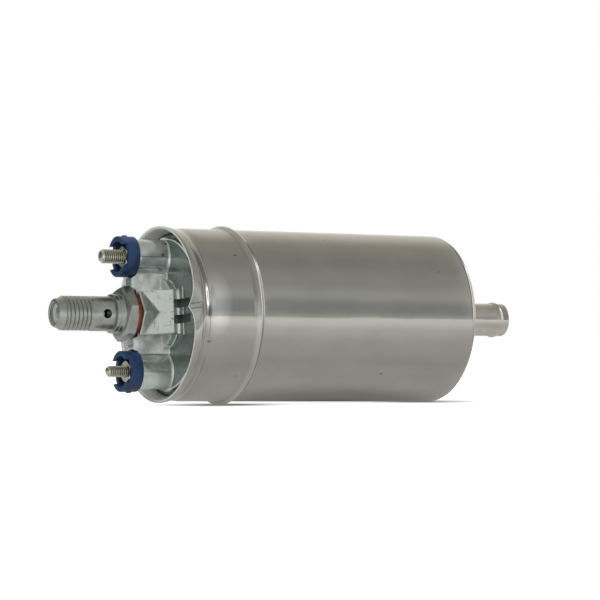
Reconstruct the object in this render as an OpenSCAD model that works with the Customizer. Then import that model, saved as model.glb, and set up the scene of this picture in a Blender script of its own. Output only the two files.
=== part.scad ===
// In-line electric fuel pump for a fuel-injected car.
// A drawn steel can holds a brushed motor and a gerotor pump stage. A die-cast cover with the
// check valve fitting and the two terminals closes the outlet end (-X), and the inlet nipple
// is brazed into the can's end wall (+X). The pump axis is the X axis, and the origin is on it,
// halfway between the can's bead and its inlet end. All sizes are in millimetres.

/* [Canister] */
// Outer diameter of the drawn can
can_d = 60; // [56:0.5:66]
// Wall thickness of the can
can_wall = 1; // [0.8:0.1:1.2]
// Length of the can from its lip to its end wall
can_len = 112.3; // [108:0.5:124]
// Radius of the rounded corner at the inlet end
can_corner_r = 2.8; // [2:0.1:3.4]
// Distance from the bead's centre to the inlet end
bead_to_end = 88.2; // [84:0.2:90]
// Height of the bead over the can's wall
bead_h = 1.2; // [0.6:0.1:1.4]
// Width of the bead along the can
bead_w = 4.4; // [3.6:0.2:5.4]
// Height of the rolled lip over the can's wall
lip_h = 0.55; // [0.3:0.05:0.8]
// Distance from the lip's edge to the crimped neck
neck_from_lip = 5.3; // [5:0.1:5.8]
// Depth of the crimped neck below the can's wall
neck_depth = 0.7; // [0.5:0.05:0.8]

/* [Inlet nipple] */
// Outer diameter of the hose nipple
nipple_d = 11.9; // [10:0.1:13]
// Bore of the hose nipple
nipple_bore_d = 9; // [7.6:0.1:9.4]
// How far the nipple stands out of the can
nipple_len = 28.9; // [22:0.5:32]
// Height of the nipple's bead, which holds the hose
nipple_bead_h = 0.5; // [0.3:0.1:0.8]
// Distance from the nipple's bead to its end
nipple_bead_from_end = 4.1; // [3.2:0.1:5]
// Diameter of the nipple's flange inside the can
nipple_flange_d = 18; // [16:0.5:20]
// Thickness of the nipple's flange inside the can
nipple_flange_t = 1.2; // [1:0.1:1.4]

/* [Outlet cover] */
// Clock angle of the cover about the pump axis, as the pump lies
cover_clock = -5.4; // [-45:0.1:45]
// How far the cover's face lies inside the lip
cover_recess = 2.8; // [2:0.1:3]
// Diameter of the raised face of the cover
rim_d = 52.6; // [50:0.2:53.6]
// Thickness of the cover's plate
plate_t = 5; // [4.4:0.2:6]
// Height of the terminal towers and of the outlet boss over the face
tower_h = 11.8; // [10:0.1:13]
// Outer diameter of a terminal tower
tower_d = 12.2; // [11:0.1:12.6]
// Distance of each terminal from the pump axis
terminal_r = 19.75; // [19.2:0.05:20]
// Width across the flats of the outlet boss
boss_af = 15.2; // [14.8:0.1:16]
// Slope of the sloping pad on the boss, from the pump axis
pad_slope = 45; // [42:1:48]
// Distance of the pad block's outer side from the pump axis
pad_side_y = 12.1; // [11:0.1:13]
// Thickness of the web between the towers
web_t = 6.4; // [5:0.2:7.4]
// How far the web stands out past the outlet boss
web_rise = 1.8; // [1:0.1:1.9]
// Radius of the web's rounded corners
web_corner_r = 1.9; // [1:0.1:2.2]
// Width of each pocket in the cover's face beside the pad
pocket_w = 3; // [2.4:0.1:3.2]
// Width of the rib between the two pockets
pocket_rib = 2.4; // [2:0.1:3]
// Depth of the pockets
pocket_depth = 3; // [2:0.1:3.4]
// Distance of the pockets' outer end from the pump axis
pocket_reach = 20; // [18:0.5:22]

/* [Outlet fitting] */
// Major diameter of the outlet thread, M12 x 1.5
thread_d = 11.9; // [11.7:0.05:11.97]
// Length of the outlet thread, with its lead chamfer
thread_len = 12.5; // [10:0.1:14]
// Diameter of the plain shank behind the thread
shank_d = 12; // [11.98:0.01:12.1]
// Length of the plain shank
shank_len = 8.6; // [7.4:0.1:9.4]
// Diameter of the collar between shank and hexagon
collar_d = 13.5; // [13:0.1:14.6]
// Length of the collar
collar_len = 3; // [2:0.1:3.6]
// Width across the flats of the hexagon
hex_af = 17; // [16:0.5:17.5]
// Length of the hexagon
hex_len = 3.9; // [3.4:0.1:6]
// Angle of the hexagon from the cross hole
hex_turn = 17; // [0:1:60]
// Diameter of the cross hole in the shank
cross_hole_d = 3.2; // [2.6:0.1:3.6]
// Distance of the cross hole from the collar
cross_hole_from = 3.7; // [3:0.1:5]
// Bore of the fitting, in which the check valve slides
valve_bore_d = 6.1; // [5.8:0.05:6.4]
// Bore of the valve's seat
valve_seat_d = 4; // [3.4:0.1:4.4]
// Outer diameter of the valve's retainer
retainer_d = 7.4; // [6.8:0.1:7.6]
// Hole in the valve's retainer
retainer_hole_d = 3.6; // [2.8:0.1:3.9]
// How far the retainer lies inside the fitting's end
retainer_depth = 1.4; // [1:0.1:2.4]
// Length of the valve's retainer
retainer_len = 4; // [3:0.1:5]
// Thickness of the copper sealing washer
washer_t = 2; // [1.95:0.05:2.6]
// Outer diameter of the copper sealing washer
washer_d = 15.5; // [14.6:0.1:15.8]
// Length of the check valve's plunger
plunger_len = 9; // [7:0.2:11]
// Opening travel of the check valve
valve_travel = 2; // [1:0.1:3]

/* [Terminals] */
// Outer diameter of the insulator cups
cup_d = 14.1; // [13.6:0.1:15]
// Bore of the insulator cups
cup_bore_d = 10.6; // [10:0.1:11.4]
// Length of the insulator cups
cup_len = 5.75; // [5.2:0.05:7]
// Thickness of the insulator cups' floor
cup_floor = 1.1; // [0.8:0.1:1.4]
// Width of the slot across each cup
cup_slot_w = 7.9; // [7:0.1:9.4]
// Depth of the slot across each cup
cup_slot_depth = 1.5; // [0.8:0.05:2.4]
// Outer diameter of the insulating sleeve on the cup
sleeve_d = 7.4; // [7:0.1:8]
// Thread diameter of the positive stud, M5
stud_plus_d = 4.9; // [4.8:0.05:5]
// How far the positive stud stands out past its tower
stud_plus_len = 12; // [10:0.1:16]
// Thread diameter of the negative stud, M4
stud_minus_d = 3.9; // [3.8:0.05:4]
// How far the negative stud stands out past its tower
stud_minus_len = 10.8; // [9:0.1:14]
// Width across the flats of the positive nut
nut_plus_af = 7; // [6.8:0.1:8.2]
// Width across the flats of the negative nut
nut_minus_af = 7; // [6.5:0.1:7.4]
// Height of both nuts
nut_h = 2.6; // [2:0.1:3.2]
// Angle of both nuts from their corner-up position
nut_turn = 8; // [0:1:60]

/* [Motor] */
// Diameter of the armature shaft
shaft_d = 8; // [7:0.1:8.6]
// Thickness of the flux sleeve round the magnets
flux_sleeve_t = 3.6; // [3:0.1:4.6]
// Length of the windings' heads at both ends of the core
coil_head = 6; // [5:0.1:6.6]
// Number of slots in the core
slot_count = 12; // [8:1:14]
// Diameter of the commutator
commutator_d = 18; // [17:0.2:19]
// Length of the commutator's segments
commutator_len = 8; // [7.6:0.1:9]
// Radial air gap between core and magnets
air_gap = 0.7; // [0.5:0.05:1]
// Thickness of the magnets
magnet_t = 5; // [4:0.1:5.4]
// Half angle that each magnet covers
magnet_half_angle = 62; // [50:1:66]
// Width of a brush along the shaft
brush_w = 6; // [4.6:0.1:6.2]
// Width of a brush round the commutator
brush_t = 6.6; // [5:0.1:7]
// Length of a brush
brush_len = 9; // [7:0.2:9.4]
// Lift of a brush off the commutator
brush_travel = 2; // [1:0.1:2.5]

/* [Pump stage] */
// Number of lobes on the inner rotor
lobe_count = 6; // [5:1:7]
// Radius of the circle of tooth centres, over the rotors' offset and the number of teeth
rotor_ratio = 1.3534; // [1.34:0.0001:1.6]
// Distance of the outer rotor's tooth centres from its edge
tooth_in = 2.5; // [2:0.1:3]
// Half the space between two teeth of the outer rotor
tooth_space = 1.81; // [1.6:0.01:2.2]
// Thickness of the rotor ring where it is thinnest
ring_t = 6.5; // [6.2:0.1:7]
// Thickness of the rotors
rotor_t = 8; // [6:0.1:9]
// Thickness of the port plate on the motor's side
port_plate_t = 6; // [5.4:0.1:6.4]
// Thickness of the inlet plate
inlet_plate_t = 6; // [5.4:0.1:7]
// Diameter of the relief valve's ball
ball_d = 4.8; // [4:0.1:5]
// Opening travel of the relief valve
relief_travel = 1.5; // [0.8:0.1:1.8]
// Wall between the relief valve's bore and the edge of the plates
relief_edge = 2.4; // [2:0.1:2.8]
// Distance of the clamping screws from the edge of the plates
screw_edge = 3.55; // [3.3:0.05:3.8]
// Thread diameter of the clamping screws
screw_d = 3; // [2.5:0.1:3.2]

/* [Fits] */
// Radial clearance of what turns or slides in a bore
running_gap = 0.05; // [0.03:0.01:0.08]
// Clearance between pieces that seat in each other
seat_gap = 0.05; // [0.02:0.01:0.1]
// Clearance between the two rotors' profiles
mesh_gap = 0.07; // [0.05:0.01:0.1]

/* [Hidden] */
$fn = 96;
small_fn = 48;
eps = 0.01;

// Stations along the pump axis
end_x = bead_to_end / 2;
bead_x = -bead_to_end / 2;
lip_x = end_x - can_len;
neck_x = lip_x + neck_from_lip;
face_x = lip_x + cover_recess;
boss_x = face_x - tower_h;
web_x = boss_x - web_rise;
fitting_x = boss_x - washer_t;
hex_x = fitting_x - hex_len;
shank_x = hex_x - collar_len;
thread_x = shank_x - shank_len;
tip_x = thread_x - thread_len;

// The can's wall
can_r = can_d / 2;
can_in = can_r - can_wall;
inside_r = can_in - seat_gap;
wall_x = end_x - can_wall;

// The can's profile, the same on both sides of its wall
roll_w = 1.6;
roll_edge = 0.3;
dip_h = 0.1;
neck_half = 0.4;
shoulder_len = 2.2;
neck_start_x = neck_x - neck_half;
neck_stop_x = neck_x + neck_half;
shoulder_x = neck_stop_x + shoulder_len;
bead_steps = 10;
corner_steps = 6;

// Stations inside the cover
skirt_len = 8.6;
groove_w = 2.5;
groove_depth = 2.1;
groove_x = shoulder_x + 2.2;
cavity_x = face_x + plate_t;
skirt_x = shoulder_x + skirt_len;
bush_wall = 2;
bush_len = 5;
bush_boss_wall = 2;
bush_boss_r = shaft_d / 2 + bush_wall + seat_gap + bush_boss_wall;
cover_bush_x = skirt_x - 1.5 - bush_len;

// Stations inside the fitting
spigot_len = 8.6;
spigot_x = fitting_x + spigot_len;
seat_x = fitting_x + 4.6;
outlet_way_d = 5.4;
seat_lap = 0.1;

// The terminals
cup_x = boss_x - cup_len;
nut_x = boss_x - cup_floor - seat_gap - nut_h;
stud_step = 0.42;
head_h = 2;
head_d = 8.6;
inner_flange_t = 1.6;
inner_flange_r = 4.6;
bush_stub = 3.4;
tower_hole_r = sleeve_d / 2 + seat_gap;

// The brush gear hangs on the cover's side of the motor
holder_t = 2.5;
holder_x = skirt_x + seat_gap;
brush_gap_x = 0.6;
tube_wall = 0.6;
tube_x = holder_x + holder_t + seat_gap;
brush_x = tube_x + tube_wall + running_gap + brush_w / 2;
tube_stop_x = brush_x + brush_w / 2 + running_gap + tube_wall;
commutator_r = commutator_d / 2;
commutator_x = brush_x - commutator_len / 2;
commutator_stop_x = commutator_x + commutator_len;
brush_in = commutator_r + running_gap;
brush_out = brush_in + brush_len;
tube_in = brush_in + 1.6;
post_in = inside_r - 4.6;
riser_t = 1.4;
riser_r = commutator_r + 1.4;
holder_stop_x = tube_stop_x + 1;

// The pump stage is stacked against the can's end wall
stack_x = wall_x - seat_gap;
chamber_depth = 4.6;
inlet_plate_x = stack_x - chamber_depth - inlet_plate_t;
rotor_x = inlet_plate_x - rotor_t;
port_plate_x = rotor_x - port_plate_t;
stage_gap = 0.04;
pins = lobe_count + 1;
tooth_ring_r = (inside_r - ring_t - running_gap - tooth_in) / (1 + 1 / (rotor_ratio * pins));
rotor_offset = tooth_ring_r / (rotor_ratio * pins);
rotor_r = tooth_ring_r + tooth_in;
rotor_bore_r = rotor_r + running_gap;
tooth_r = tooth_ring_r * sin(180 / pins) - tooth_space;
root_r = tooth_ring_r - tooth_r + 2 * rotor_offset + 0.15;
lobe_steps = 20;
port_in = tooth_ring_r - tooth_r - 1.4;
port_out = root_r - 1;
port_from = 25;
port_to = 155;

// The relief valve lies in a bore through the whole stage
ball_r = ball_d / 2;
relief_bore_r = ball_r + 0.15;
relief_r = inside_r - relief_edge - relief_bore_r;
screw_r = inside_r - screw_edge;
relief_seat_r = ball_r * 0.65;
relief_seat_x = port_plate_x + port_plate_t - 2;
ball_x = relief_seat_x + sqrt(ball_r * ball_r - relief_seat_r * relief_seat_r) + 0.05;
relief_plug_t = 3;
relief_plug_x = inlet_plate_x + inlet_plate_t - relief_plug_t;

// The motor between the brush gear and the pump stage
shaft_r = shaft_d / 2;
sleeve_in = inside_r - flux_sleeve_t;
magnet_out = sleeve_in - seat_gap;
magnet_in = magnet_out - magnet_t;
core_r = magnet_in - air_gap;
insulation_t = 1;
riser_gap = 1.2;
coil_gap = 3.3;
core_x = commutator_stop_x + riser_t + riser_gap + coil_head;
core_stop_x = port_plate_x - coil_gap - coil_head;
core_len = core_stop_x - core_x;
magnet_over = 3;
magnet_x = core_x - magnet_over;
magnet_stop_x = core_stop_x + magnet_over;
sleeve_x = holder_stop_x + seat_gap;
sleeve_stop_x = port_plate_x - seat_gap;
thrust_t = 0.8;
slot_mouth = 2.2;
slot_bottom_r = 9.2;
core_bridge = 1.6;
pin_d = 2;
pin_len = 15;
pin_x = rotor_x + pin_d / 2 + 0.4;
shaft_x = cover_bush_x + 0.3;
shaft_stop_x = inlet_plate_x - 0.4;

// The springs
spring_sides = 6;
spring_rings = 8;
valve_wire = 0.6;
valve_coils = 11;
relief_wire = 0.6;
relief_coils = 6;
brush_wire = 0.5;
brush_coils = 5;

// Turns a profile of [radius, x] points about the pump axis
module turned(points) {
    rotate([0, 90, 0]) rotate_extrude() polygon(points);
}

// A round bar or hole along the pump axis, from x to x + len
module along(x, len, r, r2 = undef, fn = $fn) {
    translate([x, 0, 0]) rotate([0, 90, 0])
        cylinder(h = len, r1 = r, r2 = is_undef(r2) ? r : r2, $fn = fn);
}

// A hexagonal bar along the pump axis, with a corner towards -Y
module hexagon(x, len, af) {
    translate([x, 0, 0]) rotate([0, 90, 0]) rotate([0, 0, 30])
        cylinder(h = len, d = af / cos(30), $fn = 6);
}

// Turns the outlet end to its clock angle
module clocked() rotate([cover_clock, 0, 0]) children();

// Places children at the positive terminal (1) or at the negative one (-1)
module at_terminal(side) clocked() translate([0, 0, side * terminal_r]) children();

// Places children so that +Z points outwards at one of the two brushes
module at_brush(side) clocked() rotate([side > 0 ? 0 : 180, 0, 0]) children();

// Points of a circular arc as [radius, x] pairs
function arc(r0, x0, r, a0, a1, n) =
    [for (i = [0:n]) let (a = a0 + (a1 - a0) * i / n) [r0 + r * cos(a), x0 + r * sin(a)]];

// Points of the bead on a wall of radius r, from the outlet side to the inlet side
function bead_points(r) =
    [for (i = [0:bead_steps]) let (t = i / bead_steps)
        [r + bead_h * (1 - cos(360 * t)) / 2, bead_x + bead_w * (t - 0.5)]];

// One side of the can's wall at the outlet end, as an offset inwards from the outside
function lip_points(inset) = [
    [can_r + lip_h - inset - roll_edge, lip_x],
    [can_r + lip_h - inset, lip_x + roll_edge],
    [can_r + lip_h - inset, lip_x + roll_w],
    [can_r - dip_h - inset, lip_x + roll_w + 0.6],
    [can_r - inset, lip_x + roll_w + 1.2],
    [can_r - inset, neck_start_x - 0.9],
    [can_r - neck_depth - inset, neck_start_x],
    [can_r - neck_depth - inset, neck_stop_x],
    [can_r - inset, shoulder_x]
];

function reversed(points) = [for (i = [len(points) - 1:-1:0]) points[i]];

// A helical tube along the X axis, from x to x + len, closed and ground to no thickness at its ends
module spring(x, len, coil_r, wire, coils) {
    n = coils * spring_rings;
    run = len - wire;
    lead = run / (coils * 360);
    tilt = atan(lead * 180 / PI / coil_r);
    ring = function (i) let (a = 360 * i / spring_rings, px = x + wire / 2 + run * i / n)
        [for (k = [0:spring_sides - 1])
            let (b = 360 * k / spring_sides, ro = coil_r + wire / 2 * cos(b), up = wire / 2 * sin(b))
            [px + up * cos(tilt),
             ro * cos(a) + up * sin(tilt) * sin(a),
             ro * sin(a) - up * sin(tilt) * cos(a)]];
    points = [for (i = [0:n]) each ring(i)];
    sides = [for (i = [0:n - 1], k = [0:spring_sides - 1])
        let (a = i * spring_sides + k, b = i * spring_sides + (k + 1) % spring_sides,
             c = a + spring_sides, d = b + spring_sides)
        each [[a, b, d], [a, d, c]]];
    first = [for (k = [1:spring_sides - 2]) [0, k + 1, k]];
    last_ring = n * spring_sides;
    last = [for (k = [1:spring_sides - 2]) [last_ring, last_ring + k, last_ring + k + 1]];
    echo(str("least gap between coils: ", run / coils - wire));
    polyhedron(points = points, faces = concat(sides, first, last));
}

// The drawn steel can, with its bead, crimped neck and rolled lip
module canister() {
    outside = concat(
        lip_points(0), bead_points(can_r),
        arc(can_r - can_corner_r, end_x - can_corner_r, can_corner_r, 0, 90, corner_steps));
    inside = concat(
        lip_points(can_wall), bead_points(can_in),
        arc(can_r - can_corner_r, end_x - can_corner_r, can_corner_r - can_wall, 0, 90, corner_steps));
    hole_r = nipple_d / 2 + seat_gap;
    color([0.62, 0.61, 0.58])
        turned(concat(outside, [[hole_r, end_x], [hole_r, wall_x]], reversed(inside)));
}

// The steel hose nipple, flanged inside the can and beaded near its end
module inlet_nipple() {
    r = nipple_d / 2;
    stop_x = end_x + nipple_len;
    rolled_x = stop_x - nipple_bead_from_end;
    bead_half = 1.3;
    edge = 0.4;
    flange_x = wall_x - seat_gap - nipple_flange_t;
    bead = [for (i = [0:8]) [r + nipple_bead_h * sin(180 * i / 8), rolled_x + bead_half * (i / 4 - 1)]];
    color([0.66, 0.65, 0.61]) turned(concat(
        [[nipple_bore_d / 2, flange_x], [nipple_flange_d / 2, flange_x],
         [nipple_flange_d / 2, flange_x + nipple_flange_t], [r, flange_x + nipple_flange_t]],
        bead,
        [[r, stop_x - edge], [r - edge, stop_x], [nipple_bore_d / 2, stop_x]]));
}

// The moulded sieve in the nipple: a slotted thimble on a collar with a flange
module inlet_strainer() {
    flange_t = 0.8;
    collar_len = 2.4;
    sieve_len = 9;
    tip_t = 1;
    collar_r = nipple_bore_d / 2 - seat_gap / 2;
    sieve_r = nipple_bore_d / 2 - 1.2;
    hole_r = sieve_r - 0.7;
    start_x = wall_x - 2 * seat_gap - nipple_flange_t;
    slot_count = 8;
    slot_w = 1;
    slot_x = start_x + collar_len + 0.6;
    slot_len = sieve_len - tip_t - 1;
    color([0.85, 0.83, 0.74]) difference() {
        turned([
            [hole_r, start_x - flange_t], [collar_r + 1.6, start_x - flange_t],
            [collar_r + 1.6, start_x], [collar_r, start_x], [collar_r, start_x + collar_len],
            [sieve_r, start_x + collar_len + 0.4], [sieve_r, start_x + collar_len + sieve_len - 0.4],
            [sieve_r - 0.4, start_x + collar_len + sieve_len], [0, start_x + collar_len + sieve_len],
            [0, start_x + collar_len + sieve_len - tip_t],
            [hole_r, start_x + collar_len + sieve_len - tip_t]]);
        for (i = [0:slot_count - 1]) rotate([i * 360 / slot_count, 0, 0])
            translate([slot_x, -slot_w / 2, hole_r - 0.5]) cube([slot_len, slot_w, 2]);
    }
}

// The body of revolution that the cover's casting starts from
module cover_disc() {
    edge = 0.5;
    rim_r = rim_d / 2;
    neck_in = can_in - neck_depth - seat_gap;
    bush_r = bush_boss_r - bush_boss_wall;
    boss_stop_x = cover_bush_x + bush_len;
    cavity_r = inside_r - groove_depth - 1.8;
    turned([
        [0, face_x], [rim_r - edge, face_x], [rim_r, face_x + edge], [rim_r, neck_start_x - 0.3],
        [neck_in, neck_start_x + 0.5], [neck_in, neck_stop_x + 0.1], [inside_r, shoulder_x + 0.1],
        [inside_r, groove_x], [inside_r - groove_depth, groove_x],
        [inside_r - groove_depth, groove_x + groove_w], [inside_r, groove_x + groove_w],
        [inside_r, skirt_x], [cavity_r, skirt_x], [cavity_r, cavity_x],
        [bush_boss_r, cavity_x], [bush_boss_r, boss_stop_x],
        [bush_r, boss_stop_x], [bush_r, cover_bush_x],
        [bush_r - 1.2, cover_bush_x], [bush_r - 1.2, cavity_x - 1], [0, cavity_x - 1]
    ]);
}

// The boss under the check valve fitting, with the sloping pad that faces -Y
module cover_boss() {
    flat_y = boss_af / 2 * tan(30);
    pad_x = boss_x + 1.75;
    rise = pad_side_y - flat_y;
    pad_stop_x = pad_x + rise / tan(pad_slope);
    hexagon(boss_x, tower_h + eps, boss_af);
    translate([0, 0, -boss_af / 2]) linear_extrude(boss_af) polygon([
        [pad_x, 0], [pad_x, -flat_y], [pad_stop_x, -pad_side_y],
        [face_x + eps, -pad_side_y], [face_x + eps, 0]]);
}

// The web that joins the boss and both towers, with rounded outer corners
module cover_web() {
    translate([0, 0, -terminal_r]) linear_extrude(2 * terminal_r) {
        translate([web_x, -web_t / 2 + web_corner_r])
            square([face_x - web_x + eps, web_t - 2 * web_corner_r]);
        translate([web_x + web_corner_r, -web_t / 2])
            square([face_x - web_x - web_corner_r + eps, web_t]);
        for (side = [-1, 1])
            translate([web_x + web_corner_r, side * (web_t / 2 - web_corner_r)])
                circle(r = web_corner_r, $fn = small_fn);
    }
}

// The die-cast aluminium cover of the outlet end
module outlet_cover() {
    spot_d = 17.2;
    window_d = 4;
    window_x = cavity_x + 1.6;
    pocket_y = pad_side_y - 1.6;
    color([0.66, 0.69, 0.68]) difference() {
        union() {
            cover_disc();
            clocked() {
                cover_boss();
                difference() {
                    cover_web();
                    for (side = [-1, 1]) translate([0, 0, side * terminal_r])
                        along(web_x - 1, boss_x - web_x + 1, cup_d / 2 + 0.3);
                }
                for (side = [-1, 1]) translate([0, 0, side * terminal_r])
                    along(boss_x, tower_h + eps, tower_d / 2);
            }
        }
        clocked() {
            for (side = [-1, 1]) {
                translate([0, 0, side * terminal_r]) {
                    along(boss_x - 1, tower_h + plate_t + 2, tower_hole_r, fn = small_fn);
                    along(cavity_x, skirt_x - cavity_x + 1, inner_flange_r + seat_gap, fn = small_fn);
                }
                translate([pad_block_stop(), -pocket_reach, side * (pocket_rib + pocket_w) / 2 - pocket_w / 2])
                    cube([face_x + pocket_depth - pad_block_stop(), pocket_reach - pocket_y, pocket_w]);
            }
            for (turn = [0, 90]) rotate([45 + turn, 0, 0]) translate([window_x, 0, 0])
                cylinder(h = 2 * bush_boss_r + 2, d = window_d, center = true, $fn = small_fn);
        }
        along(web_x - 1, boss_x - web_x + 1, spot_d / 2);
        along(boss_x - 1, spigot_x + 1 - boss_x + 0.4, thread_d / 2 + seat_gap);
        along(boss_x, cavity_x - boss_x + eps, outlet_way_d / 2, fn = small_fn);
    }
}

// Where the pockets start behind the pad's edge
function pad_block_stop() =
    boss_x + 1.75 + (pad_side_y - boss_af / 2 * tan(30)) / tan(pad_slope) + 0.4;

// The rubber ring that seals the cover in the can
module cover_seal_ring() {
    wire_r = groove_depth / 2;
    color([0.1, 0.1, 0.1]) rotate([0, 90, 0]) rotate_extrude()
        translate([inside_r - wire_r, groove_x + groove_w / 2]) circle(r = wire_r - 0.03, $fn = 24);
}

// The steel check valve fitting that the fuel line screws onto
module outlet_fitting() {
    lead_len = 2.6;
    lead_r = thread_d / 2 - 1.05;
    corner_cut = 0.8;
    face_r = hex_af / 2 - 0.3;
    corner_r = hex_af / 2 / cos(30) - 0.05;
    groove_len = 0.7;
    groove_r = shank_d / 2 - 0.3;
    color([0.58, 0.58, 0.55]) difference() {
        union() {
            turned([
                [0, tip_x], [lead_r, tip_x], [thread_d / 2, tip_x + lead_len], [thread_d / 2, thread_x],
                [shank_d / 2, thread_x], [shank_d / 2, shank_x - groove_len],
                [groove_r, shank_x - groove_len], [groove_r, shank_x], [collar_d / 2, shank_x],
                [collar_d / 2, hex_x + eps], [thread_d / 2, hex_x + eps],
                [thread_d / 2, spigot_x - 0.8], [thread_d / 2 - 0.8, spigot_x], [0, spigot_x]]);
            intersection() {
                rotate([hex_turn * -1, 0, 0]) hexagon(hex_x, hex_len, hex_af);
                turned([
                    [0, hex_x], [face_r, hex_x], [corner_r, hex_x + corner_cut],
                    [corner_r, fitting_x - corner_cut], [face_r, fitting_x], [0, fitting_x]]);
            }
        }
        along(tip_x - 1, seat_x - tip_x + 1, valve_bore_d / 2, fn = small_fn);
        along(tip_x - 1, retainer_depth + retainer_len + 1, retainer_d / 2, fn = small_fn);
        along(tip_x, spigot_x - tip_x + 1, valve_seat_d / 2, fn = small_fn);
        translate([shank_x - cross_hole_from, 0, 0]) rotate([90, 0, 0])
            cylinder(h = shank_d + 2, d = cross_hole_d, center = true, $fn = small_fn);
    }
}

// The copper sealing washer between the fitting and the cover's boss
module outlet_washer() {
    edge = 0.2;
    outer = washer_d / 2;
    inner = thread_d / 2 + 0.1;
    color([0.55, 0.27, 0.17]) turned([
        [inner, fitting_x], [outer - edge, fitting_x], [outer, fitting_x + edge],
        [outer, boss_x - edge], [outer - edge, boss_x], [inner, boss_x]]);
}

// The plunger of the check valve, with three flats that let the fuel pass
module check_valve_plunger() {
    r = valve_bore_d / 2 - running_gap;
    nose = valve_seat_d / 2 - seat_lap / 2;
    flat = r * 0.72;
    cone_x = seat_x - (r - nose);
    color([0.8, 0.66, 0.35]) difference() {
        turned([
            [0, seat_x - plunger_len], [r - 0.4, seat_x - plunger_len], [r, seat_x - plunger_len + 0.4],
            [r, cone_x], [nose - 0.9, seat_x + 0.9], [0, seat_x + 0.9]]);
        for (i = [0:2]) rotate([i * 120, 0, 0])
            translate([seat_x - plunger_len - 1, -r, flat]) cube([plunger_len, 2 * r, r]);
    }
}

module check_valve_spring() {
    spring_x = tip_x + retainer_depth + retainer_len + seat_gap;
    color([0.7, 0.7, 0.72])
        spring(spring_x, seat_x - plunger_len - seat_gap - spring_x, valve_bore_d / 2 - 0.6,
            valve_wire, valve_coils);
}

// The bush that holds the spring in the fitting and lets the fuel out
module check_valve_retainer() {
    color([0.8, 0.79, 0.74]) difference() {
        along(tip_x + retainer_depth, retainer_len - seat_gap, retainer_d / 2 - 0.02, fn = small_fn);
        along(tip_x, retainer_depth + retainer_len + 1, retainer_hole_d / 2, fn = small_fn);
    }
}

// A moulded insulator: a slotted cup round the nut, and a sleeve through the tower
module insulator(stud_d) {
    key_w = 1.6;
    key_len = 1.4;
    key_h = 0.4;
    cup_edge = 0.5;
    sleeve_len = tower_h - 1;
    color([0.1, 0.17, 0.4]) difference() {
        union() {
            turned([
                [0, cup_x], [cup_d / 2 - cup_edge, cup_x], [cup_d / 2, cup_x + cup_edge],
                [cup_d / 2, boss_x - seat_gap], [0, boss_x - seat_gap]]);
            along(boss_x - 1, sleeve_len + 1, sleeve_d / 2, fn = small_fn);
            translate([cup_x + cup_len * 0.4, -key_w / 2, cup_d / 2 - 0.5]) cube([key_len, key_w, key_h + 0.5]);
        }
        along(cup_x - 1, cup_len - cup_floor + 1, cup_bore_d / 2);
        along(cup_x - 1, cup_len + sleeve_len + 2, stud_d / 2 + seat_gap, fn = small_fn);
        translate([cup_x - 1, -cup_d, -cup_slot_w / 2]) cube([cup_slot_depth + 1, 2 * cup_d, cup_slot_w]);
    }
}

module positive_insulator() at_terminal(1) insulator(stud_plus_d);
module negative_insulator() at_terminal(-1) rotate([180, 0, 0]) insulator(stud_minus_d);

// A terminal stud with its flat head inside the cover. It has the thread's outer diameter
// outside its nut, and the thread's mean diameter in the nut and behind it.
module stud(stud_d, len) {
    point = 0.6;
    head_x = cavity_x + inner_flange_t + seat_gap;
    tail_x = boss_x - len;
    color([0.67, 0.65, 0.53]) union() {
        along(nut_x - eps, head_x - nut_x + 2 * eps, (stud_d - stud_step) / 2, fn = small_fn);
        along(tail_x + point, nut_x - tail_x - point, stud_d / 2, fn = small_fn);
        along(tail_x, point, stud_d / 2 - point, stud_d / 2, fn = small_fn);
        along(head_x, head_h, head_d / 2, fn = small_fn);
    }
}

module positive_stud() at_terminal(1) stud(stud_plus_d, stud_plus_len);
module negative_stud() at_terminal(-1) stud(stud_minus_d, stud_minus_len);

// A plain hexagon nut that clamps the insulator and carries the cable's eye
module nut(af, stud_d) {
    corner_r = af / 2 / cos(30) + 0.01;
    color([0.74, 0.73, 0.66]) difference() {
        intersection() {
            rotate([30 + nut_turn, 0, 0]) hexagon(nut_x, nut_h, af);
            turned([
                [0, nut_x], [corner_r - 0.2, nut_x], [corner_r, nut_x + 0.15],
                [corner_r, nut_x + nut_h], [0, nut_x + nut_h]]);
        }
        along(nut_x - 1, nut_h + 2, (stud_d - stud_step) / 2 + 0.02, fn = small_fn);
    }
}

module positive_nut() at_terminal(1) nut(nut_plus_af, stud_plus_d);
module negative_nut() at_terminal(-1) nut(nut_minus_af, stud_minus_d);

// The flanged bushes that insulate the studs inside the cover
module inner_insulators() {
    color([0.12, 0.12, 0.13]) for (side = [-1, 1])
        at_terminal(side) difference() {
            union() {
                along(cavity_x + seat_gap, inner_flange_t - seat_gap, inner_flange_r, fn = small_fn);
                along(cavity_x - bush_stub, bush_stub + 1, sleeve_d / 2, fn = small_fn);
            }
            along(cavity_x - bush_stub - 1, bush_stub + inner_flange_t + 2,
                (side > 0 ? stud_plus_d : stud_minus_d) / 2 + seat_gap, fn = small_fn);
        }
}

// The rubber rings that seal the studs in the towers
module terminal_seals() {
    color([0.1, 0.1, 0.1]) for (side = [-1, 1])
        let (stud_r = ((side > 0 ? stud_plus_d : stud_minus_d) - stud_step) / 2,
             wire_r = (tower_hole_r - stud_r) / 2 - 0.02)
            at_terminal(side) translate([cavity_x - bush_stub - seat_gap - wire_r, 0, 0])
                rotate([0, 90, 0]) rotate_extrude($fn = small_fn)
                    translate([(tower_hole_r + stud_r) / 2, 0]) circle(r = wire_r, $fn = 16);
}

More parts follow.
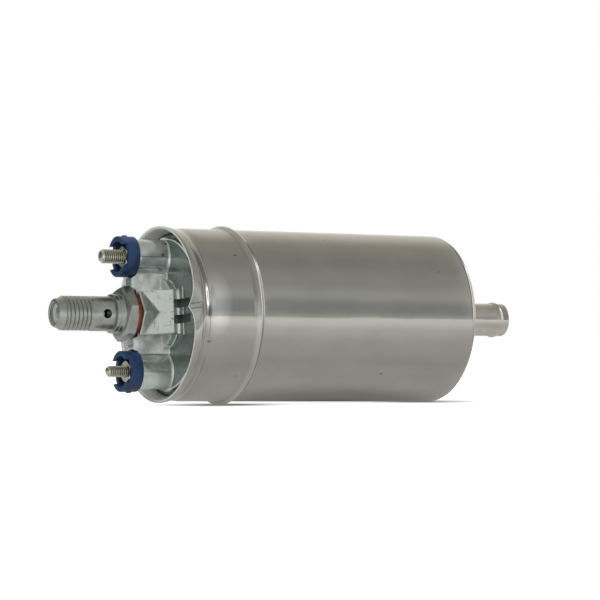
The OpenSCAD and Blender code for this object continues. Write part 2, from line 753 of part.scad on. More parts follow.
// The moulded brush holder: a ring plate with an end stop behind each brush tube
module brush_holder() {
    ring_wall = 2.2;
    hole_r = commutator_r + 3;
    way_w = 14;
    strap_w = 5;
    color([0.16, 0.15, 0.14]) difference() {
        union() {
            along(holder_x, holder_t, inside_r);
            difference() {
                along(holder_x, holder_stop_x - holder_x, inside_r);
                along(holder_x - eps, holder_stop_x - holder_x + 2 * eps, inside_r - ring_wall);
            }
            for (side = [-1, 1]) at_brush(side)
                intersection() {
                    translate([holder_x, -brush_t / 2 - tube_wall, post_in])
                        cube([tube_stop_x - holder_x, brush_t + 2 * tube_wall, 8]);
                    along(holder_x, holder_stop_x - holder_x, inside_r - 1);
                }
        }
        along(holder_x - 1, holder_t + 2, hole_r);
        for (side = [-1, 1]) at_brush(side)
            translate([holder_x - 1, -strap_w / 2 - 0.1, terminal_r - 1.6])
                cube([holder_t + 1 + seat_gap, strap_w + 0.2, 2.4]);
        for (i = [0, 1]) clocked() rotate([90 + i * 180, 0, 0])
            translate([holder_x - 1, -way_w / 2, hole_r + 2]) cube([holder_t + 2, way_w, 6]);
    }
}

// A brass brush tube with the strap that joins it to its stud's head
module brush_tube() {
    inner_x = brush_w / 2 + running_gap;
    inner_y = brush_t / 2 + running_gap;
    tube_len = post_in - seat_gap - tube_in;
    strap_w = 5;
    strap_t = 0.8;
    head_stop_x = cavity_x + inner_flange_t + seat_gap + head_h;
    color([0.78, 0.62, 0.3]) union() {
        translate([brush_x, 0, tube_in]) difference() {
            translate([-inner_x - tube_wall, -inner_y - tube_wall, 0])
                cube([2 * (inner_x + tube_wall), 2 * (inner_y + tube_wall), tube_len]);
            translate([-inner_x, -inner_y, -1]) cube([2 * inner_x, 2 * inner_y, tube_len + 2]);
        }
        translate([head_stop_x + seat_gap, -strap_w / 2, terminal_r - strap_t - 0.5])
            cube([tube_x + tube_wall / 2 - head_stop_x - seat_gap, strap_w, strap_t]);
    }
}

module positive_brush_tube() at_brush(1) brush_tube();
module negative_brush_tube() at_brush(-1) brush_tube();

// A carbon brush, hollowed where it rides on the commutator
module brush() {
    color([0.13, 0.13, 0.14]) difference() {
        translate([brush_x - brush_w / 2, -brush_t / 2, brush_in - 1])
            cube([brush_w, brush_t, brush_len + 1]);
        along(brush_x - brush_w, 2 * brush_w, brush_in);
    }
}

module positive_brush() at_brush(1) brush();
module negative_brush() at_brush(-1) brush();

// The spring that presses a brush onto the commutator
module brush_spring() {
    color([0.7, 0.7, 0.72]) translate([brush_x, 0, 0]) rotate([0, -90, 0])
        spring(brush_out + seat_gap, post_in - brush_out - 2 * seat_gap, 2.2, brush_wire, brush_coils);
}

module positive_brush_spring() at_brush(1) brush_spring();
module negative_brush_spring() at_brush(-1) brush_spring();

// The soft iron sleeve that closes the magnetic circuit
module flux_sleeve() {
    color([0.45, 0.45, 0.47]) difference() {
        along(sleeve_x, sleeve_stop_x - sleeve_x, inside_r);
        along(sleeve_x - 1, sleeve_stop_x - sleeve_x + 2, sleeve_in);
    }
}

// A ferrite magnet shell centred on -Y
module magnet() {
    half = magnet_half_angle;
    reach = 2 * magnet_out;
    color([0.22, 0.22, 0.24]) difference() {
        along(magnet_x, magnet_stop_x - magnet_x, magnet_out);
        along(magnet_x - 1, magnet_stop_x - magnet_x + 2, magnet_in);
        translate([magnet_x - 1, 0, 0]) rotate([0, 90, 0])
            linear_extrude(magnet_stop_x - magnet_x + 2) polygon([
                [0, 0], [reach * sin(half), -reach * cos(half)], [reach, reach],
                [-reach, reach], [-reach * sin(half), -reach * cos(half)]]);
    }
}

module magnet_near() clocked() magnet();
module magnet_far() clocked() rotate([180, 0, 0]) magnet();

// A wedge about -X of a flat drawing, with its point shifted along its axis
module wedge(half, shift) {
    reach = 2 * can_d;
    polygon([
        [-shift, 0], [-shift - reach, reach * tan(half)], [-shift - reach, -reach * tan(half)]]);
}

// The two spring clips that spread the magnets against the sleeve
module magnet_clips() {
    clip_t = 0.6;
    clip_h = magnet_t - 1;
    edge_gap = 0.3;
    outer = sleeve_in - seat_gap;
    half = 90 - magnet_half_angle - asin(edge_gap / magnet_out);
    color([0.55, 0.56, 0.58]) for (turn = [0, 180]) clocked() rotate([turn, 0, 0])
        translate([magnet_x + 2, 0, 0]) rotate([0, 90, 0])
            linear_extrude(magnet_stop_x - magnet_x - 4) difference() {
                intersection() {
                    difference() {
                        circle(r = outer);
                        circle(r = outer - clip_h);
                    }
                    wedge(half, 0);
                }
                intersection() {
                    circle(r = outer - clip_t);
                    wedge(half, clip_t / sin(half));
                }
            }
}

// The hardened armature shaft
module armature_shaft() {
    edge = 0.5;
    color([0.7, 0.7, 0.72]) difference() {
        turned([
            [0, shaft_x], [shaft_r - edge, shaft_x], [shaft_r, shaft_x + edge],
            [shaft_r, shaft_stop_x - edge], [shaft_r - edge, shaft_stop_x], [0, shaft_stop_x]]);
        translate([pin_x, 0, 0]) cylinder(h = 2 * shaft_d, d = pin_d, center = true, $fn = 24);
    }
}

// One coil slot of the armature's core, from its round bottom to its narrow mouth
module core_slot(x, len, inset, mouth) {
    slot_out = core_r - core_bridge;
    slot_w = 2 * PI * slot_bottom_r / slot_count - 2;
    top_w = slot_w * 1.9;
    translate([x, 0, 0]) rotate([0, 90, 0]) linear_extrude(len) {
        polygon([
            [-(slot_bottom_r + inset), -slot_w / 2 + inset], [-(slot_out - inset), -top_w / 2 + inset],
            [-(slot_out - inset), top_w / 2 - inset], [-(slot_bottom_r + inset), slot_w / 2 - inset]]);
        if (mouth > 0) translate([-core_r - 1, -mouth / 2]) square([core_bridge + 2, mouth]);
    }
}

// The stack of core laminations, with its slots for the windings
module armature_core() {
    color([0.4, 0.4, 0.42]) difference() {
        along(core_x, core_len, core_r);
        along(core_x - 1, core_len + 2, shaft_r + seat_gap);
        for (i = [0:slot_count - 1]) rotate([i * 360 / slot_count, 0, 0])
            core_slot(core_x - 1, core_len + 2, 0, slot_mouth);
    }
}

// The copper windings: a bar of wires in each slot, and the coil heads at both ends
module armature_windings() {
    head_out = core_r - core_bridge - 0.8;
    head_round = 2;
    head_in = shaft_r + insulation_t;
    color([0.68, 0.36, 0.18]) union() {
        for (i = [0:slot_count - 1]) rotate([i * 360 / slot_count, 0, 0])
            core_slot(core_x - 0.5, core_len + 1, 0.15, 0);
        for (side = [0, 1]) {
            from_x = side == 0 ? core_x - coil_head : core_stop_x + 0.1;
            to_x = from_x + coil_head - 0.1;
            turned([
                [head_in, from_x], [head_out - head_round, from_x], [head_out, from_x + head_round],
                [head_out, to_x - (side == 0 ? 0 : head_round)],
                [head_out - (side == 0 ? 0 : head_round), to_x], [head_in, to_x]]);
        }
    }
}

// The copper segments of the commutator, one to each slot
module commutator_segments() {
    cut_w = 0.7;
    color([0.72, 0.42, 0.25]) difference() {
        turned([
            [commutator_r - 2.4, commutator_x], [commutator_r, commutator_x],
            [commutator_r, commutator_stop_x], [riser_r, commutator_stop_x],
            [riser_r, commutator_stop_x + riser_t], [commutator_r - 2.4, commutator_stop_x + riser_t]]);
        for (i = [0:slot_count - 1]) rotate([(i + 0.5) * 360 / slot_count, 0, 0])
            translate([commutator_x - 1, -cut_w / 2, 0])
                cube([commutator_len + riser_t + 2, cut_w, 2 * commutator_r]);
    }
}

// The moulded hub that carries the segments on the shaft
module commutator_hub() {
    color([0.25, 0.18, 0.12]) difference() {
        along(commutator_x, commutator_len + riser_t, commutator_r - 2.4 - 0.02);
        along(commutator_x - 1, commutator_len + riser_t + 2, shaft_r + seat_gap);
    }
}

// The thrust washers at both ends of the armature
module thrust_washers() {
    outer = shaft_r + 2.4;
    color([0.75, 0.68, 0.4]) for (x = [commutator_x - thrust_t - 0.1, port_plate_x - thrust_t - 0.1])
        difference() {
            along(x, thrust_t, outer, fn = small_fn);
            along(x - 1, thrust_t + 2, shaft_r + seat_gap, fn = small_fn);
        }
}

// A sintered bronze bush for the shaft
module shaft_bush(x, len) {
    color([0.72, 0.52, 0.28]) difference() {
        along(x, len, shaft_r + bush_wall);
        along(x - 1, len + 2, shaft_r + running_gap);
    }
}

module cover_bush() shaft_bush(cover_bush_x + seat_gap, bush_len - seat_gap);
module stage_bush() shaft_bush(port_plate_x, port_plate_t - 0.3);

// A kidney-shaped port through a plate of the pump stage
module kidney(x, len) {
    mid_r = (port_in + port_out) / 2;
    half_w = (port_out - port_in) / 2;
    outer = 2 * port_out;
    translate([x, 0, 0]) rotate([0, 90, 0]) linear_extrude(len) union() {
        intersection() {
            difference() {
                circle(r = port_out);
                circle(r = port_in);
            }
            polygon(concat([[0, 0]], [for (i = [0:5]) let (a = port_from + (port_to - port_from) * i / 5)
                outer * [cos(a), sin(a)]]));
        }
        for (a = [port_from, port_to])
            translate(mid_r * [cos(a), sin(a)]) circle(r = half_w, $fn = small_fn);
    }
}

// The holes of the clamping screws through a plate
module screw_holes(x, len, d) {
    for (a = [30, 150, 270]) rotate([a, 0, 0]) translate([x, screw_r, 0]) rotate([0, 90, 0])
        cylinder(h = len, d = d, $fn = small_fn);
}

// The port plate between the motor and the rotors, with the relief valve's seat
module port_plate() {
    hole_d = screw_d + 0.3;
    color([0.6, 0.61, 0.62]) difference() {
        along(port_plate_x, port_plate_t - stage_gap, inside_r);
        along(port_plate_x - 1, port_plate_t + 2, shaft_r + bush_wall + 0.02);
        kidney(port_plate_x - 1, port_plate_t + 2);
        screw_holes(port_plate_x - 1, port_plate_t + 2, screw_d - 0.02);
        translate([0, 0, relief_r]) {
            along(port_plate_x - 1, port_plate_t + 2, relief_seat_r, fn = small_fn);
            along(relief_seat_x, port_plate_t, relief_bore_r, fn = small_fn);
        }
    }
}

// The ring that the outer rotor turns in, off the pump's axis
module rotor_ring() {
    color([0.56, 0.57, 0.58]) difference() {
        along(rotor_x, rotor_t - stage_gap, inside_r);
        translate([0, 0, -rotor_offset]) along(rotor_x - 1, rotor_t + 2, rotor_bore_r);
        screw_holes(rotor_x - 1, rotor_t + 2, screw_d + 0.3);
        translate([0, 0, relief_r]) along(rotor_x - 1, rotor_t + 2, relief_bore_r, fn = small_fn);
    }
}

// A point on the inner rotor's profile, which the outer rotor's round teeth generate
function rotor_point(t) =
    let (reach = tooth_r + mesh_gap,
         turn = atan2(sin((1 - pins) * t), tooth_ring_r / (rotor_offset * pins) - cos((1 - pins) * t)))
    [tooth_ring_r * cos(t) - reach * cos(t + turn) - rotor_offset * cos(pins * t),
     -tooth_ring_r * sin(t) + reach * sin(t + turn) + rotor_offset * sin(pins * t)];

// The inner rotor, which the shaft drives through a cross pin
module inner_rotor() {
    steps = lobe_steps * lobe_count;
    lobe = 360 / lobe_count;
    crowd = 0.7;
    face_gap = 0.06;
    color([0.5, 0.5, 0.53]) difference() {
        translate([rotor_x + face_gap, 0, 0]) rotate([0, 90, 0]) rotate([0, 0, 180])
            linear_extrude(rotor_t - stage_gap - 2 * face_gap)
                polygon([for (i = [0:steps - 1]) let (t = i * 360 / steps)
                    rotor_point(t - crowd * lobe / 360 * 180 / PI * sin(t * lobe_count))]);
        along(rotor_x - 1, rotor_t + 2, shaft_r + seat_gap);
        translate([rotor_x - 1, -pin_d / 2 - 0.05, -pin_len / 2 - 0.1])
            cube([pin_x + pin_d / 2 + 0.05 - rotor_x + 1, pin_d + 0.1, pin_len + 0.2]);
    }
}

// The outer rotor, with one tooth more than the inner rotor has lobes
module outer_rotor() {
    face_gap = 0.06;
    color([0.55, 0.55, 0.57])
        translate([rotor_x + face_gap, 0, -rotor_offset]) rotate([0, 90, 0]) rotate([0, 0, 180])
            linear_extrude(rotor_t - stage_gap - 2 * face_gap) difference() {
                circle(r = rotor_r);
                difference() {
                    circle(r = root_r);
                    for (i = [0:pins - 1]) rotate(i * 360 / pins)
                        translate([tooth_ring_r, 0]) circle(r = tooth_r);
                }
            }
}

// The hardened pin that drives the inner rotor
module drive_pin() {
    color([0.7, 0.7, 0.72]) translate([pin_x, 0, 0])
        cylinder(h = pin_len, d = pin_d - 0.04, center = true, $fn = 24);
}

// The inlet plate, whose rim stands on the can's end wall round the inlet chamber
module inlet_plate() {
    rim_w = 3;
    head_room = 3.4;
    rim_in = inside_r - rim_w;
    corner = can_corner_r;
    color([0.6, 0.61, 0.62]) difference() {
        turned([
            [0, inlet_plate_x], [inside_r, inlet_plate_x], [inside_r, stack_x - corner],
            [inside_r - corner * 0.6, stack_x], [rim_in, stack_x],
            [rim_in, inlet_plate_x + inlet_plate_t], [0, inlet_plate_x + inlet_plate_t]]);
        mirror([0, 1, 0]) kidney(inlet_plate_x - 1, inlet_plate_t + 2);
        screw_holes(inlet_plate_x - 1, inlet_plate_t + 2, screw_d + 0.3);
        screw_holes(inlet_plate_x + inlet_plate_t - head_room / 2, 10, 2 * screw_d + 0.2);
        along(inlet_plate_x - 1, 1.4, shaft_r + 1);
        translate([0, 0, relief_r])
            along(inlet_plate_x - 1, inlet_plate_t + 2, relief_bore_r, fn = small_fn);
    }
}

module relief_ball() {
    color([0.72, 0.72, 0.74]) translate([ball_x, 0, relief_r]) sphere(r = ball_r, $fn = 32);
}

module relief_spring() {
    color([0.7, 0.7, 0.72]) translate([0, 0, relief_r])
        spring(ball_x + ball_r * 0.68, relief_plug_x - seat_gap - ball_x - ball_r * 0.68,
            ball_r - 0.45, relief_wire, relief_coils);
}

// The drilled plug that the relief spring rests on
module relief_plug() {
    color([0.72, 0.56, 0.3]) translate([0, 0, relief_r]) difference() {
        along(relief_plug_x, relief_plug_t - 0.2, relief_bore_r - 0.02, fn = small_fn);
        along(relief_plug_x - 1, relief_plug_t + 2, 0.9, fn = 24);
    }
}

// The three screws that clamp the pump stage together
module stage_screws() {
    head_room = 3.4;
    head_x = inlet_plate_x + inlet_plate_t - head_room / 2;
    color([0.5, 0.5, 0.52]) for (a = [30, 150, 270])
        rotate([a, 0, 0]) translate([0, screw_r, 0]) {
            along(port_plate_x + 1, head_x - port_plate_x - 1, screw_d / 2 - 0.02, fn = small_fn);
            difference() {
                along(head_x, 2.2, screw_d - 0.1, fn = small_fn);
                hexagon(head_x + 0.9, 2, 2);
            }
        }
}

canister();
inlet_nipple();
inlet_strainer();
outlet_cover();
cover_seal_ring();
outlet_fitting();
outlet_washer();
check_valve_plunger();
check_valve_spring();
check_valve_retainer();
positive_insulator();
negative_insulator();
positive_stud();
negative_stud();
positive_nut();
negative_nut();
inner_insulators();
terminal_seals();
brush_holder();
positive_brush_tube();
negative_brush_tube();
positive_brush();
negative_brush();
positive_brush_spring();
negative_brush_spring();
flux_sleeve();
magnet_near();
magnet_far();
magnet_clips();
armature_shaft();
armature_core();
armature_windings();
commutator_segments();
commutator_hub();
thrust_washers();
cover_bush();
stage_bush();
port_plate();
rotor_ring();
inner_rotor();
outer_rotor();
drive_pin();
inlet_plate();
relief_ball();
relief_spring();
relief_plug();
stage_screws();
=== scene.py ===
import math

import bpy
from mathutils import Matrix, Vector


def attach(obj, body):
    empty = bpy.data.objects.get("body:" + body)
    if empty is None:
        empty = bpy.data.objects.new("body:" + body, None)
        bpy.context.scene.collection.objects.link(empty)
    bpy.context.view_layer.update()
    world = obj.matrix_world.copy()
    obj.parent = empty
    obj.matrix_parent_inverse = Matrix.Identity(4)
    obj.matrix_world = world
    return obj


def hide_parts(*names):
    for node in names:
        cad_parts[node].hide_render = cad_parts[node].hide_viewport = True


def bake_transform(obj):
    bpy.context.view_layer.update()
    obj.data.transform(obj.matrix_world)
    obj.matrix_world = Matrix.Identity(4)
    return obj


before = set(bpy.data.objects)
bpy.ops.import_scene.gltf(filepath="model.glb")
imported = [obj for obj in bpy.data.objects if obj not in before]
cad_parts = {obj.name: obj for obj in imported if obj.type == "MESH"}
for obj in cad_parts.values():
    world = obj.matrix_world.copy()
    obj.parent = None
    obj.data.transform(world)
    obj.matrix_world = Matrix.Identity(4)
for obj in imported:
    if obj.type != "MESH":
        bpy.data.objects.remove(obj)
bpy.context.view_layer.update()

# ---------------------------------------------------------------- The camera
# A long lens stands level with the pump, 1.04 m away and 29 degrees round towards the outlet
# end. Its image is square, and the pump lies a little out of level in it.
camera_at = Vector((-0.51586, -0.90409, -0.00783))
camera_right = Vector((0.87328747, -0.48706308, 0.01177083))
camera_up = Vector((-0.01677072, -0.0059062, 0.99984192))

bpy.ops.object.camera_add(location=camera_at)
camera = bpy.context.object
camera.name = "camera"
camera_axes = Matrix((camera_right, camera_up, camera_right.cross(camera_up))).transposed()
camera.rotation_euler = camera_axes.to_euler()
camera.data.sensor_width = 36
camera.data.lens = 175.26
camera.data.clip_start = 0.05
camera.data.clip_end = 20
bpy.context.scene.camera = camera
bpy.context.scene.view_settings.view_transform = "Standard"

# ------------------------------------------------- The table, the backdrop and the light
# The pump lies on a plain white table: its bead and its inlet end touch it, so the table leans
# 0.8 degrees against the pump axis. Lamps and world give a plain, soft daylight level.
bead_foot_x, bead_foot_z = -0.0441, -0.0312
inlet_foot_x, inlet_foot_z = 0.0415, -0.0300
table_lean = math.atan2(inlet_foot_z - bead_foot_z, inlet_foot_x - bead_foot_x)
table_at = Vector((0, 0, bead_foot_z - bead_foot_x * math.tan(table_lean)))


def emptied(owner):
    """The shader tree of a material or a world, without its nodes."""
    owner.use_nodes = True
    owner.node_tree.nodes.clear()
    return owner.node_tree


def add(tree, kind, sockets=(), **settings):
    """Adds a shader node. Each socket gets its value, or a link from the output it is given."""
    made = tree.nodes.new("ShaderNode" + kind)
    for key, value in settings.items():
        setattr(made, key, value)
    for key, value in dict(sockets).items():
        if isinstance(value, bpy.types.NodeSocket):
            tree.links.new(value, made.inputs[key])
        else:
            made.inputs[key].default_value = value
    return made


def maths(kind, *values, clamp=False):
    """One step of arithmetic on outputs and numbers."""
    tree = next(value.id_data for value in values if isinstance(value, bpy.types.NodeSocket))
    return add(tree, "Math", enumerate(values), operation=kind, use_clamp=clamp).outputs[0]


def vectors(kind, *values):
    """One step of arithmetic on coordinates. A length or a distance is a number."""
    made = add(values[0].id_data, "VectorMath", enumerate(values), operation=kind)
    return made.outputs["Value" if kind in ("LENGTH", "DISTANCE") else "Vector"]


def axes(place):
    """The x, y and z of a set of coordinates."""
    return add(place.id_data, "SeparateXYZ", {0: place}).outputs[:]


def mapped(place, scale=(1, 1, 1), location=(0, 0, 0), turn=(0, 0, 0)):
    """Coordinates that are scaled, turned and moved."""
    return add(place.id_data, "Mapping", {
        "Vector": place, "Scale": scale, "Location": location, "Rotation": turn}).outputs[0]


def spread(value, low, high, start=0.35, stop=0.65, kind="LINEAR"):
    """Goes from low to high as a value, such as a noise, goes from start to stop."""
    return add(value.id_data, "MapRange", {
        "Value": value, "From Min": start, "From Max": stop, "To Min": low, "To Max": high},
        interpolation_type=kind).outputs[0]


def ease(value, start, stop, high=1.0, low=0.0):
    """A spread with a soft start and stop."""
    return spread(value, low, high, start, stop, "SMOOTHSTEP")


def ramp(value, *stops):
    """Eases through colours or grey levels at their positions from 0 to 1."""
    made = add(value.id_data, "ValToRGB", {"Fac": value})
    made.color_ramp.interpolation = "EASE"
    while len(made.color_ramp.elements) < len(stops):
        made.color_ramp.elements.new(0.5)
    for element, (position, colour) in zip(made.color_ramp.elements, stops):
        element.position = position
        element.color = (*colour, 1) if isinstance(colour, tuple) else (colour, colour, colour, 1)
    return made.outputs["Color"]


def tint(value, first, second, blend="MIX"):
    """Mixes two colours, or the outputs that carry them, by a value."""
    first, second = (
        colour if isinstance(colour, bpy.types.NodeSocket) else (*colour, 1)
        for colour in (first, second))
    return add(value.id_data, "Mix", {"Factor": value, "A": first, "B": second},
               data_type="RGBA", blend_type=blend).outputs["Result"]


bpy.ops.object.select_all(action="DESELECT")
bpy.ops.mesh.primitive_plane_add(size=6, location=table_at, rotation=(0, -table_lean, 0))
table = bpy.context.object
table.name = "table"
table_white = bpy.data.materials.new("table_white")
table.data.materials.append(table_white)
tree = emptied(table_white)
rays = add(tree, "LightPath").outputs
place = add(tree, "TexCoord").outputs["Object"]
at_x, at_y, at_z = axes(place)
# The paper is paler to the camera than to any other ray, so the metal and the bounce light see it
# darker: a painted shade
paper = add(tree, "BsdfDiffuse", {
    "Color": tint(rays["Is Camera Ray"], (0.45, 0.45, 0.445), (0.88, 0.88, 0.87))})

# To the camera it glows white, with a painted shadow at the two feet. In the metal it glows with
# painted shade: grey near the pump, paler far off, and darkest behind the outlet end.
from_feet = vectors("LENGTH", vectors("SUBTRACT", vectors("ABSOLUTE", place), (0.0425, 0, 0)))
white_with_painted_shadow = ease(from_feet, 0.003, 0.03, 0.85, 0.02)
far = vectors("LENGTH", mapped(place, (1.2, 4, 0)))
painted_shade_in_metal = ramp(
    far, (0.0, 0.10), (0.035, 0.18), (0.075, 0.38), (0.1, 0.34), (0.14, 0.21), (0.2, 0.22),
    (0.4, 0.37), (0.7, 0.56), (1.0, 0.65))
painted_unlit_corner = maths("MULTIPLY", ease(at_x, -0.03, -0.12, 0.75), ease(at_y, 0.03, 0.15))
painted_shade_in_metal = maths("MULTIPLY", painted_shade_in_metal, maths("SUBTRACT", 1, painted_unlit_corner))
in_metal = maths("MAXIMUM", rays["Is Glossy Ray"], rays["Is Transmission Ray"])
shown = add(tree, "Emission", {"Strength": maths(
    "MULTIPLY_ADD", rays["Is Camera Ray"], white_with_painted_shadow, maths("MULTIPLY", in_metal, painted_shade_in_metal))})
lit = add(tree, "AddShader", {0: paper.outputs[0], 1: shown.outputs[0]})
add(tree, "OutputMaterial", {"Surface": lit.outputs[0]})


def folded(kind, *masks, clamp=False):
    """Works several masks into one, two at a time."""
    made = masks[0]
    for mask in masks[1:]:
        made = maths(kind, made, mask, clamp=clamp)
    return made


# The backdrop is white to the camera and in the metal, and lights the pump at a plain level
world = bpy.data.worlds.new("room")
bpy.context.scene.world = world
tree = emptied(world)
rays = add(tree, "LightPath").outputs
seen = folded("MAXIMUM", *(rays[f"Is {kind} Ray"] for kind in ("Camera", "Glossy", "Transmission")))
soft = add(tree, "Background", {"Strength": 0.5})
white = add(tree, "Background", {"Color": (1, 1, 1, 1)})
backdrop = add(tree, "MixShader", {"Fac": seen, 1: soft.outputs[0], 2: white.outputs[0]})
add(tree, "OutputWorld", {"Surface": backdrop.outputs[0]})

for lamp_name, lamp_at, size, power in (
    ("lamp_over", (-0.1, 0.0, 0.9), 0.6, 3.0),
    ("lamp_left", (-0.85, -0.55, 0.4), 0.6, 4.5),
    ("lamp_right", (0.65, -0.9, 0.3), 0.5, 3.0),
):
    bpy.ops.object.light_add(type="AREA", location=lamp_at)
    lamp = bpy.context.object
    lamp.name = lamp_name
    lamp.data.shape = "DISK"
    lamp.data.size = size
    lamp.data.energy = power
    lamp.rotation_euler = (-Vector(lamp_at)).to_track_quat("-Z", "Y").to_euler()
    lamp.visible_glossy = False

# A grey tent stands over the pump, as for any photograph of bright metal. A dark hoop and then
# white cloth close it towards the inlet end. Only reflections see it.
tent_r = 1.3
tent_length = 5.1
tent_middle = 0.95
tent_foot = -0.02
hoop_x = 1.1
cloth_x = 2.5
cloth_glow = 2.5
bpy.ops.object.select_all(action="DESELECT")
bpy.ops.mesh.primitive_cylinder_add(
    vertices=90, radius=tent_r, depth=tent_length, location=(tent_middle, 0, 0),
    rotation=(0, math.pi / 2, 0))
tent = bpy.context.object
tent.name = "tent"
bpy.ops.object.transform_apply(location=True, rotation=True, scale=True)
bpy.ops.object.mode_set(mode="EDIT")
bpy.ops.mesh.select_all(action="SELECT")
bpy.ops.mesh.bisect(plane_co=(0, 0, tent_foot), plane_no=(0, 0, -1), clear_outer=True)
bpy.ops.mesh.select_all(action="DESELECT")
bpy.ops.object.mode_set(mode="OBJECT")
for face in tent.data.polygons:
    face.select = face.normal.x > 0.9
bpy.ops.object.mode_set(mode="EDIT")
bpy.ops.mesh.delete(type="FACE")
bpy.ops.object.mode_set(mode="OBJECT")
tent.visible_camera = False
tent.visible_diffuse = False
tent.visible_shadow = False
tent.visible_transmission = False
tent_grey = bpy.data.materials.new("tent_grey")
tent.data.materials.append(tent_grey)
tree = emptied(tent_grey)
at_x, at_y, at_z = axes(add(tree, "TexCoord").outputs["Object"])

# Its grey changes from 0, level in front, over the top to 1, level behind
turn = maths("DIVIDE", maths("ARCTAN2", at_z, maths("MULTIPLY", at_y, -1)), math.pi)
greys = ramp(
    turn, (0.0, (0.58, 0.59, 0.60)), (0.045, (0.41, 0.43, 0.45)), (0.09, (0.41, 0.43, 0.45)),
    (0.155, (0.58, 0.585, 0.58)), (0.26, (0.48, 0.48, 0.47)), (0.45, (0.40, 0.40, 0.38)),
    (0.60, (0.46, 0.445, 0.405)), (0.80, (0.79, 0.765, 0.70)), (1.0, (0.95, 0.94, 0.92)))

# The corner behind the outlet end is unlit, and in front of that end a window shows low down
window = tint(ease(at_z, 0.7, 0.3), (0.40, 0.41, 0.39), (0.66, 0.68, 0.66))
corner = tint(ease(at_y, -0.5, 0.8), window, (0.10, 0.145, 0.14))
reach = maths("MAXIMUM", ease(at_z, 1.05, 0.45), ease(at_y, 0.1, -0.4))
shade = tint(maths("MULTIPLY", ease(at_x, 0.2, -0.3), reach), greys, corner)
cloth = ramp(
    spread(at_x, 0, 1, 0, cloth_x), (0.37, 0.4), (0.45, 0.09), (0.58, 0.12), (0.70, 0.3),
    (0.84, 1.0), (1.0, 0.4))
cloth = add(tree, "VectorMath", {0: cloth, "Scale": cloth_glow}, operation="SCALE").outputs[0]
glow = add(tree, "Emission", {"Color": tint(ease(at_x, hoop_x - 0.25, hoop_x), shade, cloth)})
add(tree, "OutputMaterial", {"Surface": glow.outputs[0]})

# ---------------------------------------------------------------- The can
# The housing is deep-drawn from 1 mm steel sheet. A bead is rolled into it, the outlet end is
# crimped over the cover at a neck, and its lip is staked inwards at one place.
can_r = 30.0
can_wall = 1.0
corner_r = 2.8
end_x = 44.1
bead_x = -44.1
bead_wide = 4.4
bead_high = 1.2
lip_x = -68.2
lip_high = 0.55
lip_round = 0.3
neck_x = -62.9
clock = math.radians(-5.4)


def arc(mid_r, mid_x, radius, start, stop, count):
    """Points of a circular arc as (radius, x) pairs, in millimetres."""
    turns = [math.radians(start + (stop - start) * i / count) for i in range(count + 1)]
    return [(mid_r + radius * math.cos(t), mid_x + radius * math.sin(t)) for t in turns]


def turned(name, profile, steps=96):
    """A profile of (radius, x) points in millimetres, drawn point by point and spun about X."""
    bpy.ops.object.select_all(action="DESELECT")
    bpy.ops.mesh.primitive_plane_add(size=1)
    piece = bpy.context.object
    piece.name = name
    bpy.ops.object.mode_set(mode="EDIT")
    bpy.ops.mesh.merge(type="CENTER")
    last_r, last_x = profile[0]
    bpy.ops.transform.translate(value=(last_x, 0, last_r))
    for r, x in profile[1:]:
        bpy.ops.mesh.extrude_vertices_move(
            TRANSFORM_OT_translate={"value": (x - last_x, 0, r - last_r)})
        last_r, last_x = r, x
    bpy.ops.mesh.select_all(action="SELECT")
    bpy.ops.mesh.spin(steps=steps, angle=2 * math.pi, center=(0, 0, 0), axis=(1, 0, 0))
    bpy.ops.mesh.select_all(action="SELECT")
    bpy.ops.mesh.remove_doubles(threshold=0.002)
    bpy.ops.mesh.normals_make_consistent(inside=False)
    bpy.ops.object.mode_set(mode="OBJECT")
    return piece


def pick(piece):
    """Selects one piece alone."""
    bpy.ops.object.select_all(action="DESELECT")
    piece.select_set(True)
    bpy.context.view_layer.objects.active = piece


def settle(piece, location=None, turn=None, scale=None):
    """Moves, turns or scales a piece, and keeps that in its mesh."""
    pick(piece)
    piece.location = location or piece.location
    piece.rotation_euler = turn or piece.rotation_euler
    piece.scale = scale or piece.scale
    bpy.ops.object.transform_apply(location=True, rotation=True, scale=True)
    return piece


def fit_piece(piece, material, body, nodes, angle=35, held=None):
    """Takes a piece from millimetres to metres, smooths it, and gives it finish, and body unless
    held is given.

    With held, a spring keeps its place in the world and gets no body; the points in held are not
    used.
    """
    settle(piece, scale=(0.001, 0.001, 0.001))
    bpy.ops.object.shade_smooth_by_angle(angle=math.radians(angle))
    piece.data.materials.clear()
    piece.data.materials.append(material)
    if held:
        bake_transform(piece)
    else:
        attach(piece, body)
    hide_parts(*nodes)
    return piece


def bead_curve(wall_r):
    """The rolled bead's outline on a wall of that radius."""
    steps = [i / 18 for i in range(19)]
    return [
        (wall_r + bead_high / 2 * (1 - math.cos(2 * math.pi * t)), bead_x + bead_wide * (t - 0.5))
        for t in steps]


def spaced(start, stop, step, r):
    """Points along a plain stretch of wall."""
    count = max(1, round((stop - start) / step))
    return [(r, start + (stop - start) * i / count) for i in range(1, count)]


# The outer wall as (height on the wall, distance from the lip's edge or from the neck)
rolled_lip = [
    (lip_high - lip_round, 0), (lip_high - lip_round * 0.3, 0.08), (lip_high, 0.3), (0.54, 0.8),
    (0.5, 1.2), (0.43, 1.6), (0.33, 2.1), (0.22, 2.6), (0.11, 3.1), (0, 3.6)]
crimped_neck = [
    (-0.1, -1.25), (-0.19, -0.8), (-0.27, -0.4), (-0.32, 0), (-0.34, 0.4), (-0.32, 0.8),
    (-0.24, 1.3), (-0.13, 1.9), (-0.04, 2.5), (0, 3.1)]
outside = (
    [(can_r + high, lip_x + along) for high, along in rolled_lip]
    + [(can_r + high, neck_x + along) for high, along in crimped_neck]
    + spaced(neck_x + 3.1, bead_x - bead_wide / 2, 3, can_r) + bead_curve(can_r)
    + spaced(bead_x + bead_wide / 2, end_x - corner_r, 6, can_r)
    + arc(can_r - corner_r, end_x - corner_r, corner_r, 0, 90, 14)
    + [(26.5, end_x), (18, end_x), (8, end_x), (6.0, end_x)])
